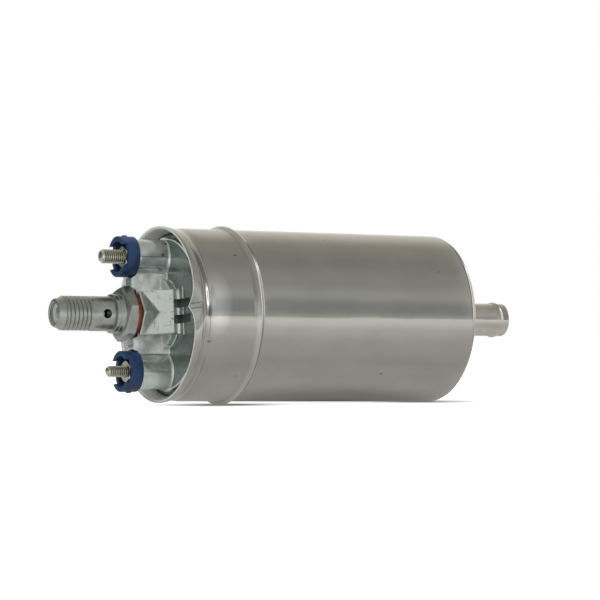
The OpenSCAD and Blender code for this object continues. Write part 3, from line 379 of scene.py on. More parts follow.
inside = (
    [(29.95, lip_x + 0.02), (29.72, lip_x + 0.14), (29.5, lip_x + 0.5), (29.3, lip_x + 1.2),
     (29.15, lip_x + 2.2), (28.98, lip_x + 3.3), (28.7, -64.2), (28.45, -63.5), (28.32, -62.9),
     (28.32, -62.3), (28.45, -61.7), (28.8, -60.7), (28.99, -59.9)]
    + bead_curve(can_r - can_wall)
    + arc(can_r - corner_r, end_x - corner_r, corner_r - can_wall, 0, 90, 8))
can = turned("can", outside + [(6.0, end_x - can_wall)] + inside[::-1] + [outside[0]], 300)

# The staked place: a punch has bent the lip inwards over the cover's rim, to a narrow tab, and
# the neck is a little dented beside it
stake_turn = math.radians(-6.65)
stake_depth = 5.9
dent_depth = 0.28
for vertex in can.data.vertices:
    x, y, z = vertex.co
    if x > neck_x + 1.5 or y > -20:
        continue
    radius = math.hypot(y, z)
    turn = math.atan2(-z, -y)
    away = abs(can_r * (turn - stake_turn))
    bent = stake_depth * math.exp(-max(0.0, away - 0.5) / 4.3)
    reach = max(0.0, min(1.0, (lip_x + 3.4 - x) / 3.2))
    radius -= bent * reach * reach * (3 - 2 * reach)
    radius -= dent_depth * math.exp(-(x + 62.6) ** 2 - (z - 6.5) ** 2 / 14)
    vertex.co = (x, -radius * math.cos(turn), -radius * math.sin(turn))


def finish(name, colour, metallic, roughness):
    """A new finish: its material, its shader, and Object coordinates in millimetres."""
    material = bpy.data.materials.new(name)
    tree = emptied(material)
    shader = add(tree, "BsdfPrincipled", {
        "Base Color": (*colour, 1), "Metallic": metallic, "Roughness": roughness})
    add(tree, "OutputMaterial", {"Surface": shader.outputs[0]})
    return material, shader, mapped(add(tree, "TexCoord").outputs["Object"], (1000, 1000, 1000))


def grain(place, size, detail=3.0, stretch=(1, 1, 1)):
    """Noise of a size in millimetres, drawn out along the axes by stretch."""
    pulled = mapped(place, [1 / (size * pull) for pull in stretch])
    return add(place.id_data, "TexNoise", {
        "Vector": pulled, "Scale": 1, "Detail": detail}).outputs["Fac"]


def dress(shader, colour, roughness, *bumps, metallic=None):
    """Links a finish's patterns, and stacks its bumps of (height, depth in millimetres)."""
    links = shader.id_data.links
    links.new(colour, shader.inputs["Base Color"])
    links.new(roughness, shader.inputs["Roughness"])
    if metallic is not None:
        links.new(metallic, shader.inputs["Metallic"])
    below_it = {}
    for height, depth in bumps:
        made = add(shader.id_data, "Bump", {
            "Strength": 1, "Distance": depth * 0.001, "Height": height, **below_it})
        below_it = {"Normal": made.outputs[0]}
    links.new(made.outputs[0], shader.inputs["Normal"])


def clouded(shader, cloud, first, second, low, high, *bumps):
    """Dresses a finish that is cloudy in colour and roughness."""
    dress(shader, tint(spread(cloud, 0, 1), first, second), spread(cloud, low, high), *bumps)


def apart(value, centre=0):
    """How far a value is from a centre."""
    return maths("ABSOLUTE", maths("SUBTRACT", value, centre) if centre else value)


def off_from(place, centre, across):
    """How far a point is from a centre, with its distance across the axis counted for less."""
    x, y, z = centre
    return vectors(
        "LENGTH", mapped(place, (1, across, across), (-x, -y * across, -z * across)))


can_steel, shader, place = finish("can_steel", (0.44, 0.43, 0.385), 1, 0.22)
at_x, at_y, at_z = axes(place)
from_axis = vectors("LENGTH", mapped(place, (0, 1, 1)))
blotches = grain(place, 9, 4, (1.6, 1, 1))
sheet_with_painted_light = tint(spread(blotches, 0, 1), (0.425, 0.415, 0.372), (0.455, 0.445, 0.40))

# It is painted paler in a highlight on the neck beside the tab, burnished and painted paler as a
# highlight on the bead's crest, and rubbed dull on the staked tab
painted_neck_highlight = spread(off_from(place, (-60.0, -29.9, 4.0), 0.5), 1, 0, 0.5, 6.0)
crest = spread(from_axis, 0, 1, can_r + 0.3, can_r + 1.0)
staked = maths("MULTIPLY", spread(from_axis, 0, 1, 29.8, 28.6),
               spread(at_x, 0, 1, neck_x - 1.7, neck_x - 2.6))
sheet_with_painted_light = tint(painted_neck_highlight, sheet_with_painted_light, (0.78, 0.77, 0.74))
sheet_with_painted_light = tint(crest, sheet_with_painted_light, (0.54, 0.53, 0.49))
sheet_with_painted_light = tint(staked, sheet_with_painted_light, (0.38, 0.39, 0.365))

# Small dark nicks all over, and painted shade: three dark lines for the shade in fine grooves at
# the lip and the neck, the creases along the punch's two edges on the tab, and a spot at the neck's
# dent
painted_groove_lines = folded("MAXIMUM", *(
    spread(apart(at_x, at), 1, 0, wide * 0.4, wide * 1.8)
    for at, wide in ((lip_x + 2.75, 0.16), (lip_x + 3.55, 0.12), (neck_x + 0.2, 0.1))))
painted_groove_lines = maths("MULTIPLY", painted_groove_lines, spread(grain(place, 7, 2, (0.2, 1, 1)), 0.1, 1))
beside_punch = apart(maths("MULTIPLY_ADD", at_y, math.tan(-stake_turn), at_z))
painted_crease_shade = maths("MULTIPLY", spread(apart(beside_punch, 0.85), 1, 0, 0.08, 0.3), staked)
nicks = add(place.id_data, "TexVoronoi", {
    "Vector": mapped(place, (0.07, 0.13, 0.13)), "Scale": 1}).outputs["Distance"]
painted_dent_shade = off_from(place, (neck_x, -can_r + 0.35, 1.0), 0.28)
marks_and_painted_shade = folded("MAXIMUM", spread(nicks, 0.8, 0, 0.04, 0.075), painted_crease_shade,
               spread(painted_dent_shade, 0.95, 0, 0.35, 0.9), painted_groove_lines)
dress(
    shader, tint(marks_and_painted_shade, sheet_with_painted_light, (0.42, 0.42, 0.38), "MULTIPLY"),
    maths("MULTIPLY_ADD", staked, 0.25,
          maths("MULTIPLY_ADD", crest, 0.1, spread(blotches, 0.09, 0.13))),
    (grain(place, 0.35, 3, (60, 1, 1)), 0.0015), (grain(place, 7, 2, (1.6, 1, 1)), 0.03),
    (grain(place, 26, 1, (1.5, 1, 1)), 0.3), metallic=spread(staked, 1, 0.25, 0, 1))
fit_piece(can, can_steel, "housing", ["canister"])

# Its cut edge and the bore behind it are scuffed and dull from the crimping, and painted pale as a
# highlight
lip_steel_painted_pale, shader, place = finish("lip_steel_painted_pale", (0.7, 0.69, 0.65), 0.2, 0.4)
scuffs = grain(place, 1.4, 4, (0.5, 1, 1))
clouded(shader, scuffs, (0.74, 0.73, 0.69), (0.90, 0.89, 0.85), 0.36, 0.5, (scuffs, 0.02))
can.data.materials.append(lip_steel_painted_pale)
for face in can.data.polygons:
    x, y, z = face.center * 1000
    edge = x < lip_x + 0.13
    bore = x < neck_x and face.normal.y * y + face.normal.z * z < 0 and abs(face.normal.x) < 0.9
    face.material_index = int(edge or bore)

# ---------------------------------------------------------------- The inlet nipple
# A turned steel tube for the suction hose, brazed into the can's end wall. A low bead near
# its end keeps the hose on, and the braze shows as a bright fillet round its root.
nipple_r = 5.95
nipple_bore_r = 4.5
flange_r = 9.0
fillet_r = 0.9
nipple_stop = end_x + 28.9
bead_at = nipple_stop - 4.1
hose_bead = 0.25
nipple = turned("nipple", (
    [(nipple_bore_r, end_x - 2.25), (flange_r, end_x - 2.25), (flange_r, end_x - 1.06),
     (nipple_r, end_x - 1.06), (nipple_r + fillet_r, end_x + 0.02)]
    + arc(nipple_r + fillet_r, end_x + fillet_r, fillet_r, 270, 180, 6)[1:]
    + spaced(end_x + fillet_r, bead_at - 1.5, 4, nipple_r)
    + [(nipple_r + hose_bead * (1 - math.cos(2 * math.pi * t / 12)), bead_at + 3 * (t / 12 - 0.5))
       for t in range(13)]
    + [(nipple_r, nipple_stop - 0.5)] + arc(nipple_r - 0.45, nipple_stop - 0.45, 0.45, 15, 90, 4)
    + [(4.8, nipple_stop), (nipple_bore_r, nipple_stop - 0.3), (nipple_bore_r, end_x - 2.25)]), 96)
plated_steel, shader, place = finish("plated_steel", (0.5, 0.5, 0.48), 1, 0.28)
clouded(
    shader, grain(place, 4, 2), (0.52, 0.50, 0.44), (0.58, 0.56, 0.50), 0.16, 0.22,
    (grain(place, 0.22, 2, (1, 40, 40)), 0.0008), (grain(place, 6, 1), 0.02))
fit_piece(nipple, plated_steel, "housing", ["inlet_nipple"])

# ---------------------------------------------------------------- The outlet cover
# A pressure die casting in aluminium closes the can. Towers for the terminals, a hexagonal boss
# with a sloping pad and the web between them stand on its face; cast edges are all rounded.
face_x = -65.4
boss_x = -77.2
web_x = -79.0
web_half = 3.2
terminal_r = 19.75
terminal_bore_r = 3.75
boss_af = 15.2
pad_side = 12.1


def bar(name, start, stop, radius, y=0.0, z=0.0, count=64):
    """A round bar along the pump axis, placed in millimetres."""
    bpy.ops.object.select_all(action="DESELECT")
    bpy.ops.mesh.primitive_cone_add(
        vertices=count, radius1=radius, radius2=radius, depth=stop - start,
        location=((start + stop) / 2, y, z), rotation=(0, math.pi / 2, 0))
    bpy.context.object.name = name
    return settle(bpy.context.object)


def block(name, low, high):
    """A block between two corners, placed in millimetres."""
    bpy.ops.object.select_all(action="DESELECT")
    bpy.ops.mesh.primitive_cube_add(
        size=1, location=[(a + b) / 2 for a, b in zip(low, high)],
        scale=[b - a for a, b in zip(low, high)])
    bpy.context.object.name = name
    return settle(bpy.context.object)


def apply_modifier(piece, kind, **values):
    """Adds a modifier with its values and applies it."""
    pick(piece)
    bpy.ops.object.modifier_add(type=kind)
    modifier = piece.modifiers[-1]
    for key, value in values.items():
        setattr(modifier, key, value)
    bpy.ops.object.modifier_apply(modifier=modifier.name)
    return piece


def combine(piece, operation, *others):
    """Cuts, joins or intersects a piece with others, which are used up."""
    for other in others:
        apply_modifier(piece, "BOOLEAN", operation=operation, object=other, solver="EXACT")
        bpy.data.objects.remove(other)
    return piece


def corner_of(across_flats):
    """A hexagon's radius to its corners."""
    return across_flats / 2 / math.cos(math.radians(30))


flat_y = boss_af / 2 * math.tan(math.radians(30))
pad_x = boss_x + 1.75
pad_stop = pad_x + (pad_side - flat_y)
cover = turned("cover_face", [
    (0, face_x), (25.7, face_x), (26.15, face_x + 0.15), (26.3, face_x + 0.6),
    (26.3, face_x + 3.8), (0, face_x + 3.8)], 128)
boss = bar("boss", boss_x, face_x + 1, corner_of(boss_af), count=6)

# The pad is a block pulled out of the boss, with its corner cut back at 45 degrees
pad = block("pad", (pad_x, -pad_side, -boss_af / 2), (face_x + 1, 0, boss_af / 2))
bpy.ops.object.mode_set(mode="EDIT")
bpy.ops.mesh.select_all(action="SELECT")
bpy.ops.mesh.bisect(
    plane_co=(pad_x, -flat_y, 0), plane_no=(-1, -1, 0), use_fill=True, clear_outer=True)
bpy.ops.object.mode_set(mode="OBJECT")

# The web between the towers is a plate with its edges rounded, spot-faced for the washer and the
# two cups
web = block("web", (web_x, -web_half, -terminal_r), (face_x + 1, web_half, terminal_r))
bpy.ops.object.mode_set(mode="EDIT")
bpy.ops.mesh.select_all(action="SELECT")
bpy.ops.mesh.bevel(offset=1.9, segments=8, affect="EDGES")
bpy.ops.object.mode_set(mode="OBJECT")
combine(web, "DIFFERENCE", bar("spot_face", web_x - 1, boss_x, 8.6),
        bar("seat_up", web_x - 1, boss_x, 7.35, 0, terminal_r),
        bar("seat_down", web_x - 1, boss_x, 7.35, 0, -terminal_r))

# Two towers, each flaring into the face round its foot
combine(cover, "UNION", boss, pad, web, bar("platform", pad_stop - 0.3, face_x + 1, 12.4, count=96))
for side in (1, -1):
    z = side * terminal_r
    tower = turned("tower", [
        (0, boss_x), (6.1, boss_x), (6.1, face_x - 0.9), (6.25, face_x - 0.4),
        (6.6, face_x - 0.12), (7.1, face_x + 0.05), (7.1, face_x + 1), (0, face_x + 1)], 72)
    combine(cover, "UNION", settle(tower, (0, 0, z)))
    combine(cover, "DIFFERENCE", bar("hole", boss_x - 1, face_x + 5, terminal_bore_r, 0, z, 40))
combine(cover, "DIFFERENCE", bar("bore", boss_x - 1, face_x + 5, 6.0, count=60))
combine(cover, "DIFFERENCE", block(
    "pad_step", (pad_stop, -pad_side - 1, -9), (face_x - 0.35, -pad_side + 0.45, 9)))
apply_modifier(cover, "REMESH", mode="VOXEL", voxel_size=0.32)
apply_modifier(cover, "SMOOTH", factor=0.5, iterations=3)

# Two pockets are cast with sharp edges at the pad's foot, and two small gas holes are left
for side in (1, -1):
    middle = side * 2.7
    combine(cover, "DIFFERENCE", block(
        "pocket", (pad_stop, -20, middle - 1.5), (face_x + 3, -pad_side + 1.6, middle + 1.5)))
gas_holes = ((-68.27, -6.1, 19.98), (-66.25, -4.3, 24.05))
for x, y, z in gas_holes:
    hole = block("gas_hole", (x - 0.25, y - 0.4, z - 0.25), (x + 0.25, y + 0.8, z + 0.25))
    apply_modifier(hole, "BEVEL", width=0.2, segments=3)
    combine(cover, "DIFFERENCE", hole)


def clocked(piece):
    """Turns a piece of the outlet end to its clock angle about the pump axis."""
    return settle(piece, turn=(clock, 0, 0))


def below(value, limit):
    """One where a value is below a limit."""
    return maths("LESS_THAN", value, limit)


def above(value, limit):
    """One where a value is above a limit."""
    return maths("GREATER_THAN", value, limit)


clocked(cover)
cast_aluminium, shader, place = finish("cast_aluminium", (0.5, 0.54, 0.53), 1, 0.34)
straight = mapped(place, turn=(-clock, 0, 0))
at_x, at_y, at_z = axes(straight)
height = apart(at_z)
cloud = grain(straight, 5, 2)

# The pad's slope has fine cracks
on_pad = folded(
    "MULTIPLY", below(apart(maths("ADD", at_x, at_y), pad_x - flat_y), 0.4),
    below(at_y, -flat_y - 0.1), below(height, 8.2))
warp = add(place.id_data, "TexNoise", {"Vector": straight, "Scale": 0.6}).outputs["Color"]
warped = add(place.id_data, "Mix", data_type="VECTOR", sockets={
    "Factor": 0.5, "A": straight, "B": warp}).outputs["Result"]
cracks = add(place.id_data, "TexVoronoi", feature="DISTANCE_TO_EDGE", sockets={
    "Vector": warped, "Scale": 0.5}).outputs["Distance"]
crack = folded("MULTIPLY", below(cracks, 0.022), above(grain(straight, 1.6, 1), 0.51), on_pad)

# The mould's parting line runs down each tower
seam = folded(
    "MULTIPLY", below(maths("MINIMUM", apart(at_z, 19.34), apart(at_z, -20.36)), 0.17),
    below(at_y, -3), below(at_x, face_x - 0.7), spread(grain(straight, 1.2, 3), 0.35, 1, 0.3, 0.6))

# Pad and web are bare of the casting skin, the face is darkened with painted shade, and the rim is
# worn and painted pale as a highlight
on_web = folded("MULTIPLY", above(at_y, -3.7), below(at_y, -2.8), below(height, 13.8))
on_flat = maths("ADD", on_pad, on_web, clamp=True)
# A little painted shade on the front of the boss and the pad
foot = folded("MULTIPLY", below(at_y, -3.7), below(height, 8.5), 0.05)
painted_face_shade = maths("ADD", foot, above(at_x, face_x - 0.2), clamp=True)
rim = maths("MULTIPLY", above(vectors("LENGTH", mapped(place, (0, 1, 1))), 25.85),
            below(at_x, face_x + 0.55))
skin_with_painted_light = tint(spread(cloud, 0, 1), (0.59, 0.635, 0.62), (0.73, 0.77, 0.755))
skin_with_painted_light = tint(painted_face_shade, skin_with_painted_light, (0.36, 0.40, 0.385), "MULTIPLY")
web_face = tint(spread(grain(straight, 4, 3), 0, 1), (0.42, 0.45, 0.43), (0.80, 0.83, 0.80))
skin_with_painted_light = tint(on_flat, skin_with_painted_light, tint(on_pad, web_face, (0.56, 0.585, 0.565)))
skin_with_painted_light = tint(rim, skin_with_painted_light, (0.80, 0.82, 0.80))
# Cracks and the parting line are dark marks; the gas holes are painted dark as the shade inside
# them
marks_and_painted_shade = folded(
    "ADD", maths("MULTIPLY", crack, 0.8), maths("MULTIPLY", seam, 0.75),
    *(below(vectors("DISTANCE", straight, hole), 0.5) for hole in gas_holes), clamp=True)
bare_and_rim_highlight = maths("ADD", on_flat, maths("MULTIPLY", rim, 0.6), clamp=True)
dress(
    shader, tint(marks_and_painted_shade, skin_with_painted_light, (0.10, 0.11, 0.11)),
    maths("ADD", spread(cloud, 0.19, 0.26), maths("MULTIPLY", on_flat, 0.2)),
    (cloud, 0.25), (grain(straight, 0.6, 2), 0.004), metallic=spread(bare_and_rim_highlight, 0.92, 0.05, 0, 1))
fit_piece(cover, cast_aluminium, "housing", ["outlet_cover"], 50)

# Behind the crimp the same casting runs on as a skirt, with the seal's groove and the bush's seat
skirt = turned("cover_skirt", [
    (0, -61.7), (26.0, -61.7), (26.0, -63.6), (26.3, -63.6), (28.1, -62.8), (28.25, -62.6),
    (28.3, -62.3), (28.95, -60.2), (28.95, -58.1), (26.85, -58.1), (26.85, -55.6), (28.95, -55.6),
    (28.95, -52.0), (28.65, -51.7), (25.05, -51.7), (25.05, -60.0), (24.65, -60.4), (8.05, -60.4),
    (8.05, -53.2), (6.05, -53.2), (6.05, -58.2), (4.85, -58.2), (4.85, -61.4), (0, -61.4)], 128)
for side in (1, -1):
    combine(skirt, "DIFFERENCE", bar(
        "hole", -62.5, -60, terminal_bore_r, 0, side * terminal_r, 40))
    window = settle(bar("window", -9, 9, 2.0, count=32), turn=(0, 0, math.pi / 2))
    settle(window, (-58.8, 0, 0), (math.radians(side * 45), 0, 0))
    combine(skirt, "DIFFERENCE", window)
combine(skirt, "DIFFERENCE", bar("way", -62.5, -61, 2.7, count=40))
clocked(skirt)
fit_piece(skirt, cast_aluminium, "housing", ["outlet_cover"])

# ---------------------------------------------------------------- The outlet fitting
# A hexagon fitting turned from plated steel, with an M12 x 1.5 thread, a plain shank with a
# cross hole for the banjo, and a collar. It screws into the boss on a copper washer.
tip_x = -107.2
thread_x = -94.7
shank_x = -86.1
hex_x = -83.1
fitting_x = -79.2
thread_r = 5.95


def cut_thread(piece, start, stop, crest_r, pitch, depth):
    """Cuts a right-hand thread in the outer wall of a turned piece, with a run-out at its end.

    How deep each point lies is kept as the attribute groove, for the painted shade in the thread's
    grooves.
    """
    groove = piece.data.attributes.new("groove", "FLOAT", "POINT").data
    for index, vertex in enumerate(piece.data.vertices):
        x, y, z = vertex.co
        radius = math.hypot(y, z)
        if not start - pitch < x < stop or radius < crest_r - 1.2 * depth:
            continue
        phase = ((x - start) / pitch - math.atan2(z, y) / (2 * math.pi)) % 1.0
        flank = max(0.0, min(1.0, (abs(2 * phase - 1) - 0.14) / 0.72))
        run_out = max(0.0, min(1.0, (stop - x) / pitch))
        cut = crest_r - depth * (1 - flank) * run_out
        if cut < radius:
            groove[index].value = (radius - cut) / depth
            vertex.co = (x, y * cut / radius, z * cut / radius)


stub = turned("fitting", (
    [(2.0, -70.6), (2.0, -74.6), (3.05, -74.6), (3.05, tip_x + 5.4), (3.7, tip_x + 5.4),
     (3.7, tip_x + 0.25), (3.95, tip_x)]
    + arc(4.35, tip_x + 0.6, 0.6, -90, -20, 5)
    + [(5.15, tip_x + 1.4), (5.4, tip_x + 1.9), (5.75, tip_x + 2.4), (thread_r, tip_x + 2.6)]
    + spaced(tip_x + 2.6, thread_x, 0.1, thread_r) + [(5.97, thread_x)]
    + spaced(thread_x, shank_x - 0.8, 1.2, 6.0)
    + [(6.0, shank_x - 0.8), (5.75, shank_x - 0.6), (5.7, shank_x - 0.1), (5.9, shank_x),
       (6.55, shank_x)]
    + arc(6.55, shank_x + 0.2, 0.2, -60, 0, 3)
    + [(6.75, shank_x + 1.1), (6.6, shank_x + 1.25), (6.6, shank_x + 1.4), (6.75, shank_x + 1.55),
       (6.75, hex_x - 0.3), (6.95, hex_x + 0.1), (5.95, hex_x + 0.1), (5.95, -71.4),
       (5.15, -70.6), (2.0, -70.6)]), 128)
cut_thread(stub, tip_x + 2.75, thread_x + 0.6, thread_r, 1.5, 0.42)
hexagon = bar("hexagon", hex_x, fitting_x, corner_of(17), count=6)
settle(hexagon, turn=(math.radians(-17), 0, 0))
combine(hexagon, "INTERSECT", turned("chamfer", [
    (0, hex_x), (7.5, hex_x), (8.1, hex_x + 0.08), (9.8, hex_x + 0.95), (9.8, fitting_x - 0.7),
    (8.3, fitting_x), (0, fitting_x)], 96))
combine(hexagon, "DIFFERENCE", bar("inside", hex_x - 1, fitting_x + 1, 5.5, count=64))
combine(stub, "UNION", hexagon)
cross_hole = bar("cross_hole", -9, 9, 1.6, count=48)
combine(stub, "DIFFERENCE", settle(cross_hole, (-89.8, 0, 0), (0, 0, math.pi / 2)))


def groove_shaded(colour, grey):
    """Paints shade into a finish where the thread's grooves lie."""
    groove = add(colour.id_data, "Attribute", attribute_name="groove").outputs["Fac"]
    return tint(groove, colour, (grey, grey, grey * 0.95), "MULTIPLY")


# The thread's grooves are darkened with painted shade
fitting_steel, shader, place = finish("fitting_steel", (0.5, 0.51, 0.48), 1, 0.34)
cloud = grain(place, 2.2, 4)
dress(
    shader, groove_shaded(tint(spread(cloud, 0, 1), (0.40, 0.41, 0.385), (0.50, 0.51, 0.48)), 0.78),
    spread(cloud, 0.28, 0.34), (grain(place, 0.16, 2, (1, 60, 60)), 0.003), (cloud, 0.02))
fit_piece(stub, fitting_steel, "housing", ["outlet_fitting"], 30)

# ---------------------------------------------------------------- The sealing washer
# A soft copper washer, flattened and slightly rounded between the fitting and the boss. It is
# dark with age and bright only where a tool has rubbed it.
washer_bore_r = 6.05
washer = turned("washer", (
    [(washer_bore_r, fitting_x + 0.03), (7.3, fitting_x + 0.03)]
    + arc(7.3, fitting_x + 0.45, 0.42, -90, 0, 5)
    + [(7.75, fitting_x + 1.0)] + arc(7.3, boss_x - 0.48, 0.45, 0, 90, 5)
    + [(washer_bore_r, boss_x - 0.03), (washer_bore_r, fitting_x + 0.03)]), 96)
copper, shader, place = finish("copper", (0.5, 0.2, 0.12), 1, 0.42)
clouded(
    shader, grain(place, 1.8, 4), (0.20, 0.065, 0.04), (0.40, 0.14, 0.085), 0.34, 0.55,
    (grain(place, 0.5, 3), 0.01))
fit_piece(washer, copper, "housing", ["outlet_washer"])

# ---------------------------------------------------------------- The terminal insulators
# Moulded cups of blue nylon stand on the towers, each with a slot for the cable's eye, a small
# key on its rim and a sleeve that reaches down through the tower.
cup_x = boss_x - 5.75
cup_r = 7.05
cup_floor_x = cup_x + 4.65
blue_plastic, shader, place = finish("blue_plastic", (0.011, 0.032, 0.10), 0, 0.4)
clouded(
    shader, grain(place, 3, 3), (0.008, 0.031, 0.092), (0.012, 0.046, 0.135), 0.38, 0.5,
    (grain(place, 0.35, 2), 0.006), (grain(place, 3, 1), 0.02))


def soften(piece, width, segments=3, angle=40):
    """Rounds a piece's sharp edges."""
    return apply_modifier(
        piece, "BEVEL", width=width, segments=segments, limit_method="ANGLE",
        angle_limit=math.radians(angle), miter_outer="MITER_ARC", harden_normals=False)


def to_terminal(piece, side):
    """Moves a piece from the pump axis to the upper (1) or lower (-1) terminal."""
    return clocked(settle(piece, (0, 0, side * terminal_r)))


for side, stud_r, node_name in (
        (1, 2.5, "positive_insulator"), (-1, 2.0, "negative_insulator")):
    cup = turned(node_name + "_cup", [
        (stud_r, cup_floor_x), (5.3, cup_floor_x), (5.3, cup_x), (cup_r, cup_x),
        (cup_r, boss_x - 0.05), (3.7, boss_x - 0.05), (3.7, -66.4), (stud_r, -66.4),
        (stud_r, cup_floor_x)], 72)
    combine(cup, "DIFFERENCE", block("slot", (cup_x - 1, -9, -3.95), (cup_x + 1.5, 9, 3.95)))
    key_z = 6.6 if side > 0 else -7.4
    combine(cup, "UNION", block("key", (cup_x + 2.3, -0.8, key_z), (cup_x + 3.7, 0.8, key_z + 0.8)))
    soften(cup, 0.3)
    to_terminal(cup, side)
    fit_piece(cup, blue_plastic, "housing", [node_name], 50)

# ---------------------------------------------------------------- The terminal studs
# Stainless studs with rolled threads, M5 for plus and M4 for minus, with the warm shine of nickel.
# Their flat heads lie inside the cover, and outside they end in a chamfered point.
nut_x = -80.95
# The threads' grooves are darkened with painted shade
nickel, shader, place = finish("nickel", (0.6, 0.57, 0.46), 1, 0.24)
cloud = grain(place, 1.2, 4)
dress(
    shader, groove_shaded(tint(spread(cloud, 0, 1), (0.62, 0.60, 0.49), (0.80, 0.77, 0.65)), 0.28),
    spread(cloud, 0.18, 0.26), (grain(place, 0.3, 3), 0.006))
for side, crest_r, length, pitch, depth, node_name in (
        (1, 2.45, 12.0, 0.8, 0.42, "positive_stud"), (-1, 1.95, 10.8, 0.7, 0.38, "negative_stud")):
    point_x = boss_x - length
    stud = turned(node_name + "_bolt", (
        [(0, point_x), (crest_r - 0.75, point_x), (crest_r - 0.6, point_x + 0.08),
         (crest_r, point_x + 0.62)]
        + spaced(point_x + 0.62, nut_x, 0.067, crest_r)
        + [(crest_r, nut_x), (crest_r - 0.21, nut_x + 0.01), (crest_r - 0.21, -58.76),
           (4.1, -58.75), (4.3, -58.55), (4.3, -56.95), (4.1, -56.75), (0, -56.75)]), 72)
    cut_thread(stud, point_x + 0.3, -80.5, crest_r, pitch, depth)
    to_terminal(stud, side)
    fit_piece(stud, nickel, "housing", [node_name], 35)

# ---------------------------------------------------------------- The terminal nuts
# Small hexagon nuts of plated steel, chamfered outside and in, lie in the cups. They clamp each
# insulator and its stud on the tower.
nut_stop = -78.35
nut_corner = corner_of(7.0)
for side, stud_r, node_name in ((1, 2.26, "positive_nut"), (-1, 1.76, "negative_nut")):
    hexnut = bar(node_name + "_hex", nut_x, nut_stop, nut_corner, count=6)
    settle(hexnut, turn=(math.radians(38), 0, 0))
    combine(hexnut, "INTERSECT", turned("chamfer", [
        (0, nut_x), (nut_corner - 0.45, nut_x), (nut_corner + 0.05, nut_x + 0.35),
        (nut_corner + 0.05, nut_stop), (0, nut_stop)], 64))
    combine(hexnut, "DIFFERENCE", turned("thread_hole", [
        (0, -81.5), (stud_r + 0.55, -81.5), (stud_r + 0.45, -80.97), (stud_r, -80.5),
        (stud_r, -78.0), (0, -78.0)], 48))
    soften(hexnut, 0.06, 2, 30)
    to_terminal(hexnut, side)
    fit_piece(hexnut, nickel, "housing", [node_name], 30)

# ---------------------------------------------------------------- What the housing hides
# The motor, the pump stage and the valves keep their machined shapes. Each gets the finish of
# its real material, for when the pump is shown opened.


def carried(material, *names):
    """Gives CAD nodes their finish."""
    for name in names:
        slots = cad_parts[name].data.materials
        slots.clear()
        slots.append(material)


def metal(name, first, second, low, high, size, depth, metallic=1):
    """A metal with its own cloudiness, roughness and surface grain, sized in millimetres."""
    material, shader, place = finish(name, first, metallic, low)
    clouded(
        shader, grain(place, size, 4), first, second, low, high,
        (grain(place, size / 6, 3), depth))
    return material


def moulding(*values):
    """A moulded or pressed material that is no metal."""
    return metal(*values, metallic=0)


carried(metal("ground_steel", (0.52, 0.52, 0.52), (0.62, 0.62, 0.61), 0.12, 0.22, 2, 0.002),
        "armature_shaft", "drive_pin", "relief_ball")
carried(metal("screw_steel", (0.30, 0.30, 0.31), (0.42, 0.42, 0.43), 0.3, 0.42, 1.5, 0.01),
        "stage_screws")
spring_wire = metal(
    "spring_wire", (0.38, 0.38, 0.39), (0.55, 0.55, 0.55), 0.28, 0.36, 0.8, 0.004)
carried(spring_wire, "magnet_clips")
carried(metal("soft_iron", (0.22, 0.22, 0.23), (0.34, 0.34, 0.35), 0.35, 0.5, 3, 0.01),
        "flux_sleeve", "armature_core")
carried(metal("sintered_steel", (0.28, 0.28, 0.29), (0.40, 0.40, 0.40), 0.3, 0.45, 0.9, 0.012),
        "inner_rotor", "outer_rotor", "rotor_ring")
carried(metal("machined_aluminium", (0.50, 0.51, 0.52), (0.62, 0.63, 0.63), 0.29, 0.38, 2.5, 0.006),
        "port_plate", "inlet_plate")
carried(metal("brass", (0.58, 0.42, 0.16), (0.70, 0.53, 0.24), 0.28, 0.36, 1.6, 0.005),
        "positive_brush_tube", "negative_brush_tube", "relief_plug", "check_valve_plunger")
carried(metal("sintered_bronze", (0.42, 0.26, 0.11), (0.55, 0.36, 0.17), 0.34, 0.5, 0.7, 0.012),
        "cover_bush", "stage_bush", "thrust_washers")
carried(metal("commutator_copper", (0.62, 0.27, 0.15), (0.74, 0.38, 0.22), 0.28, 0.34, 1.2, 0.004),
        "commutator_segments")
carried(metal("enamelled_copper", (0.42, 0.13, 0.045), (0.56, 0.21, 0.08), 0.28, 0.36, 0.9, 0.03),
        "armature_windings")
carried(moulding("ferrite", (0.035, 0.035, 0.038), (0.06, 0.06, 0.062), 0.5, 0.65, 1.2, 0.012),
        "magnet_near", "magnet_far")
carried(moulding("carbon", (0.016, 0.016, 0.017), (0.035, 0.035, 0.037), 0.45, 0.62, 0.6, 0.012),
        "positive_brush", "negative_brush")
carried(
    moulding("black_plastic", (0.018, 0.018, 0.019), (0.030, 0.030, 0.031), 0.4, 0.52, 2, 0.006),
    "brush_holder", "inner_insulators")
carried(moulding("resin", (0.10, 0.05, 0.02), (0.15, 0.08, 0.035), 0.35, 0.5, 1.5, 0.008),
        "commutator_hub")
carried(moulding("sieve_nylon", (0.62, 0.60, 0.50), (0.70, 0.68, 0.58), 0.42, 0.55, 1.4, 0.006),
        "inlet_strainer")
carried(moulding("rubber", (0.012, 0.012, 0.012), (0.024, 0.024, 0.024), 0.55, 0.7, 0.8, 0.01),
        "cover_seal_ring", "terminal_seals")
carried(moulding("retainer_plastic", (0.50, 0.50, 0.47), (0.58, 0.58, 0.55), 0.4, 0.5, 1.4, 0.006),
        "check_valve_retainer")
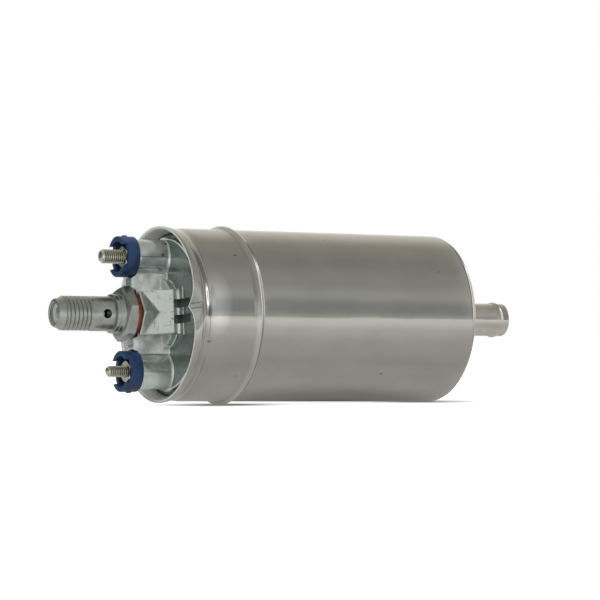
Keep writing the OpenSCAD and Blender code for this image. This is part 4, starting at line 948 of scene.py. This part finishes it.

# ---------------------------------------------------------------- The springs
# Four springs of round steel wire push the two valves onto their seats and the two brushes onto
# the commutator. Each is wound from its wire's circle and placed between its two ends.


def wound_spring(name, length, coil_r, wire, coils):
    """A spring along the pump axis, from 0 to its length in millimetres."""
    bpy.ops.object.select_all(action="DESELECT")
    bpy.ops.mesh.primitive_circle_add(vertices=12, radius=wire / 2, location=(wire / 2, coil_r, 0))
    coil = settle(bpy.context.object)
    coil.name = name
    apply_modifier(
        coil, "SCREW", axis="X", screw_offset=(length - wire) / coils, iterations=coils,
        steps=24, render_steps=24)
    bpy.ops.object.mode_set(mode="EDIT")
    bpy.ops.mesh.select_all(action="SELECT")
    bpy.ops.mesh.fill_holes(sides=0)
    bpy.ops.mesh.select_all(action="SELECT")
    bpy.ops.mesh.normals_make_consistent(inside=False)
    bpy.ops.object.mode_set(mode="OBJECT")
    return coil


for name, body, start, stop, coil_r, coils, pushes_right, z in (
        ("check_valve_spring", "outlet_valve", -101.75, -83.65, 2.45, 11, True, 0),
        ("relief_spring", "relief_valve", 25.96, 35.40, 1.95, 6, False, 24)):
    coil = settle(wound_spring(name + "_wire", stop - start, coil_r, 0.6, coils), (start, 0, z))
    ends = [(start / 1000, 0, z / 1000), (stop / 1000, 0, z / 1000)]
    held = ends if pushes_right else ends[::-1]
    fit_piece(coil, spring_wire, body, [name], 60, held)

brush_x = -45.45
brush_top = 18.1
brush_spring = 6.2
for name, body, side in (
        ("positive_brush_spring", "brush_plus", 1), ("negative_brush_spring", "brush_minus", -1)):
    coil = wound_spring(name + "_wire", brush_spring, 2.2, 0.5, 5)
    settle(coil, (brush_x, 0, brush_top), (0, -math.pi / 2, 0))
    clocked(settle(coil, turn=(0 if side > 0 else math.pi, 0, 0)))
    held = [(brush_x / 1000, -side * math.sin(clock) * out / 1000,
             side * math.cos(clock) * out / 1000) for out in (brush_top + brush_spring, brush_top)]
    fit_piece(coil, spring_wire, body, [name], 60, held)
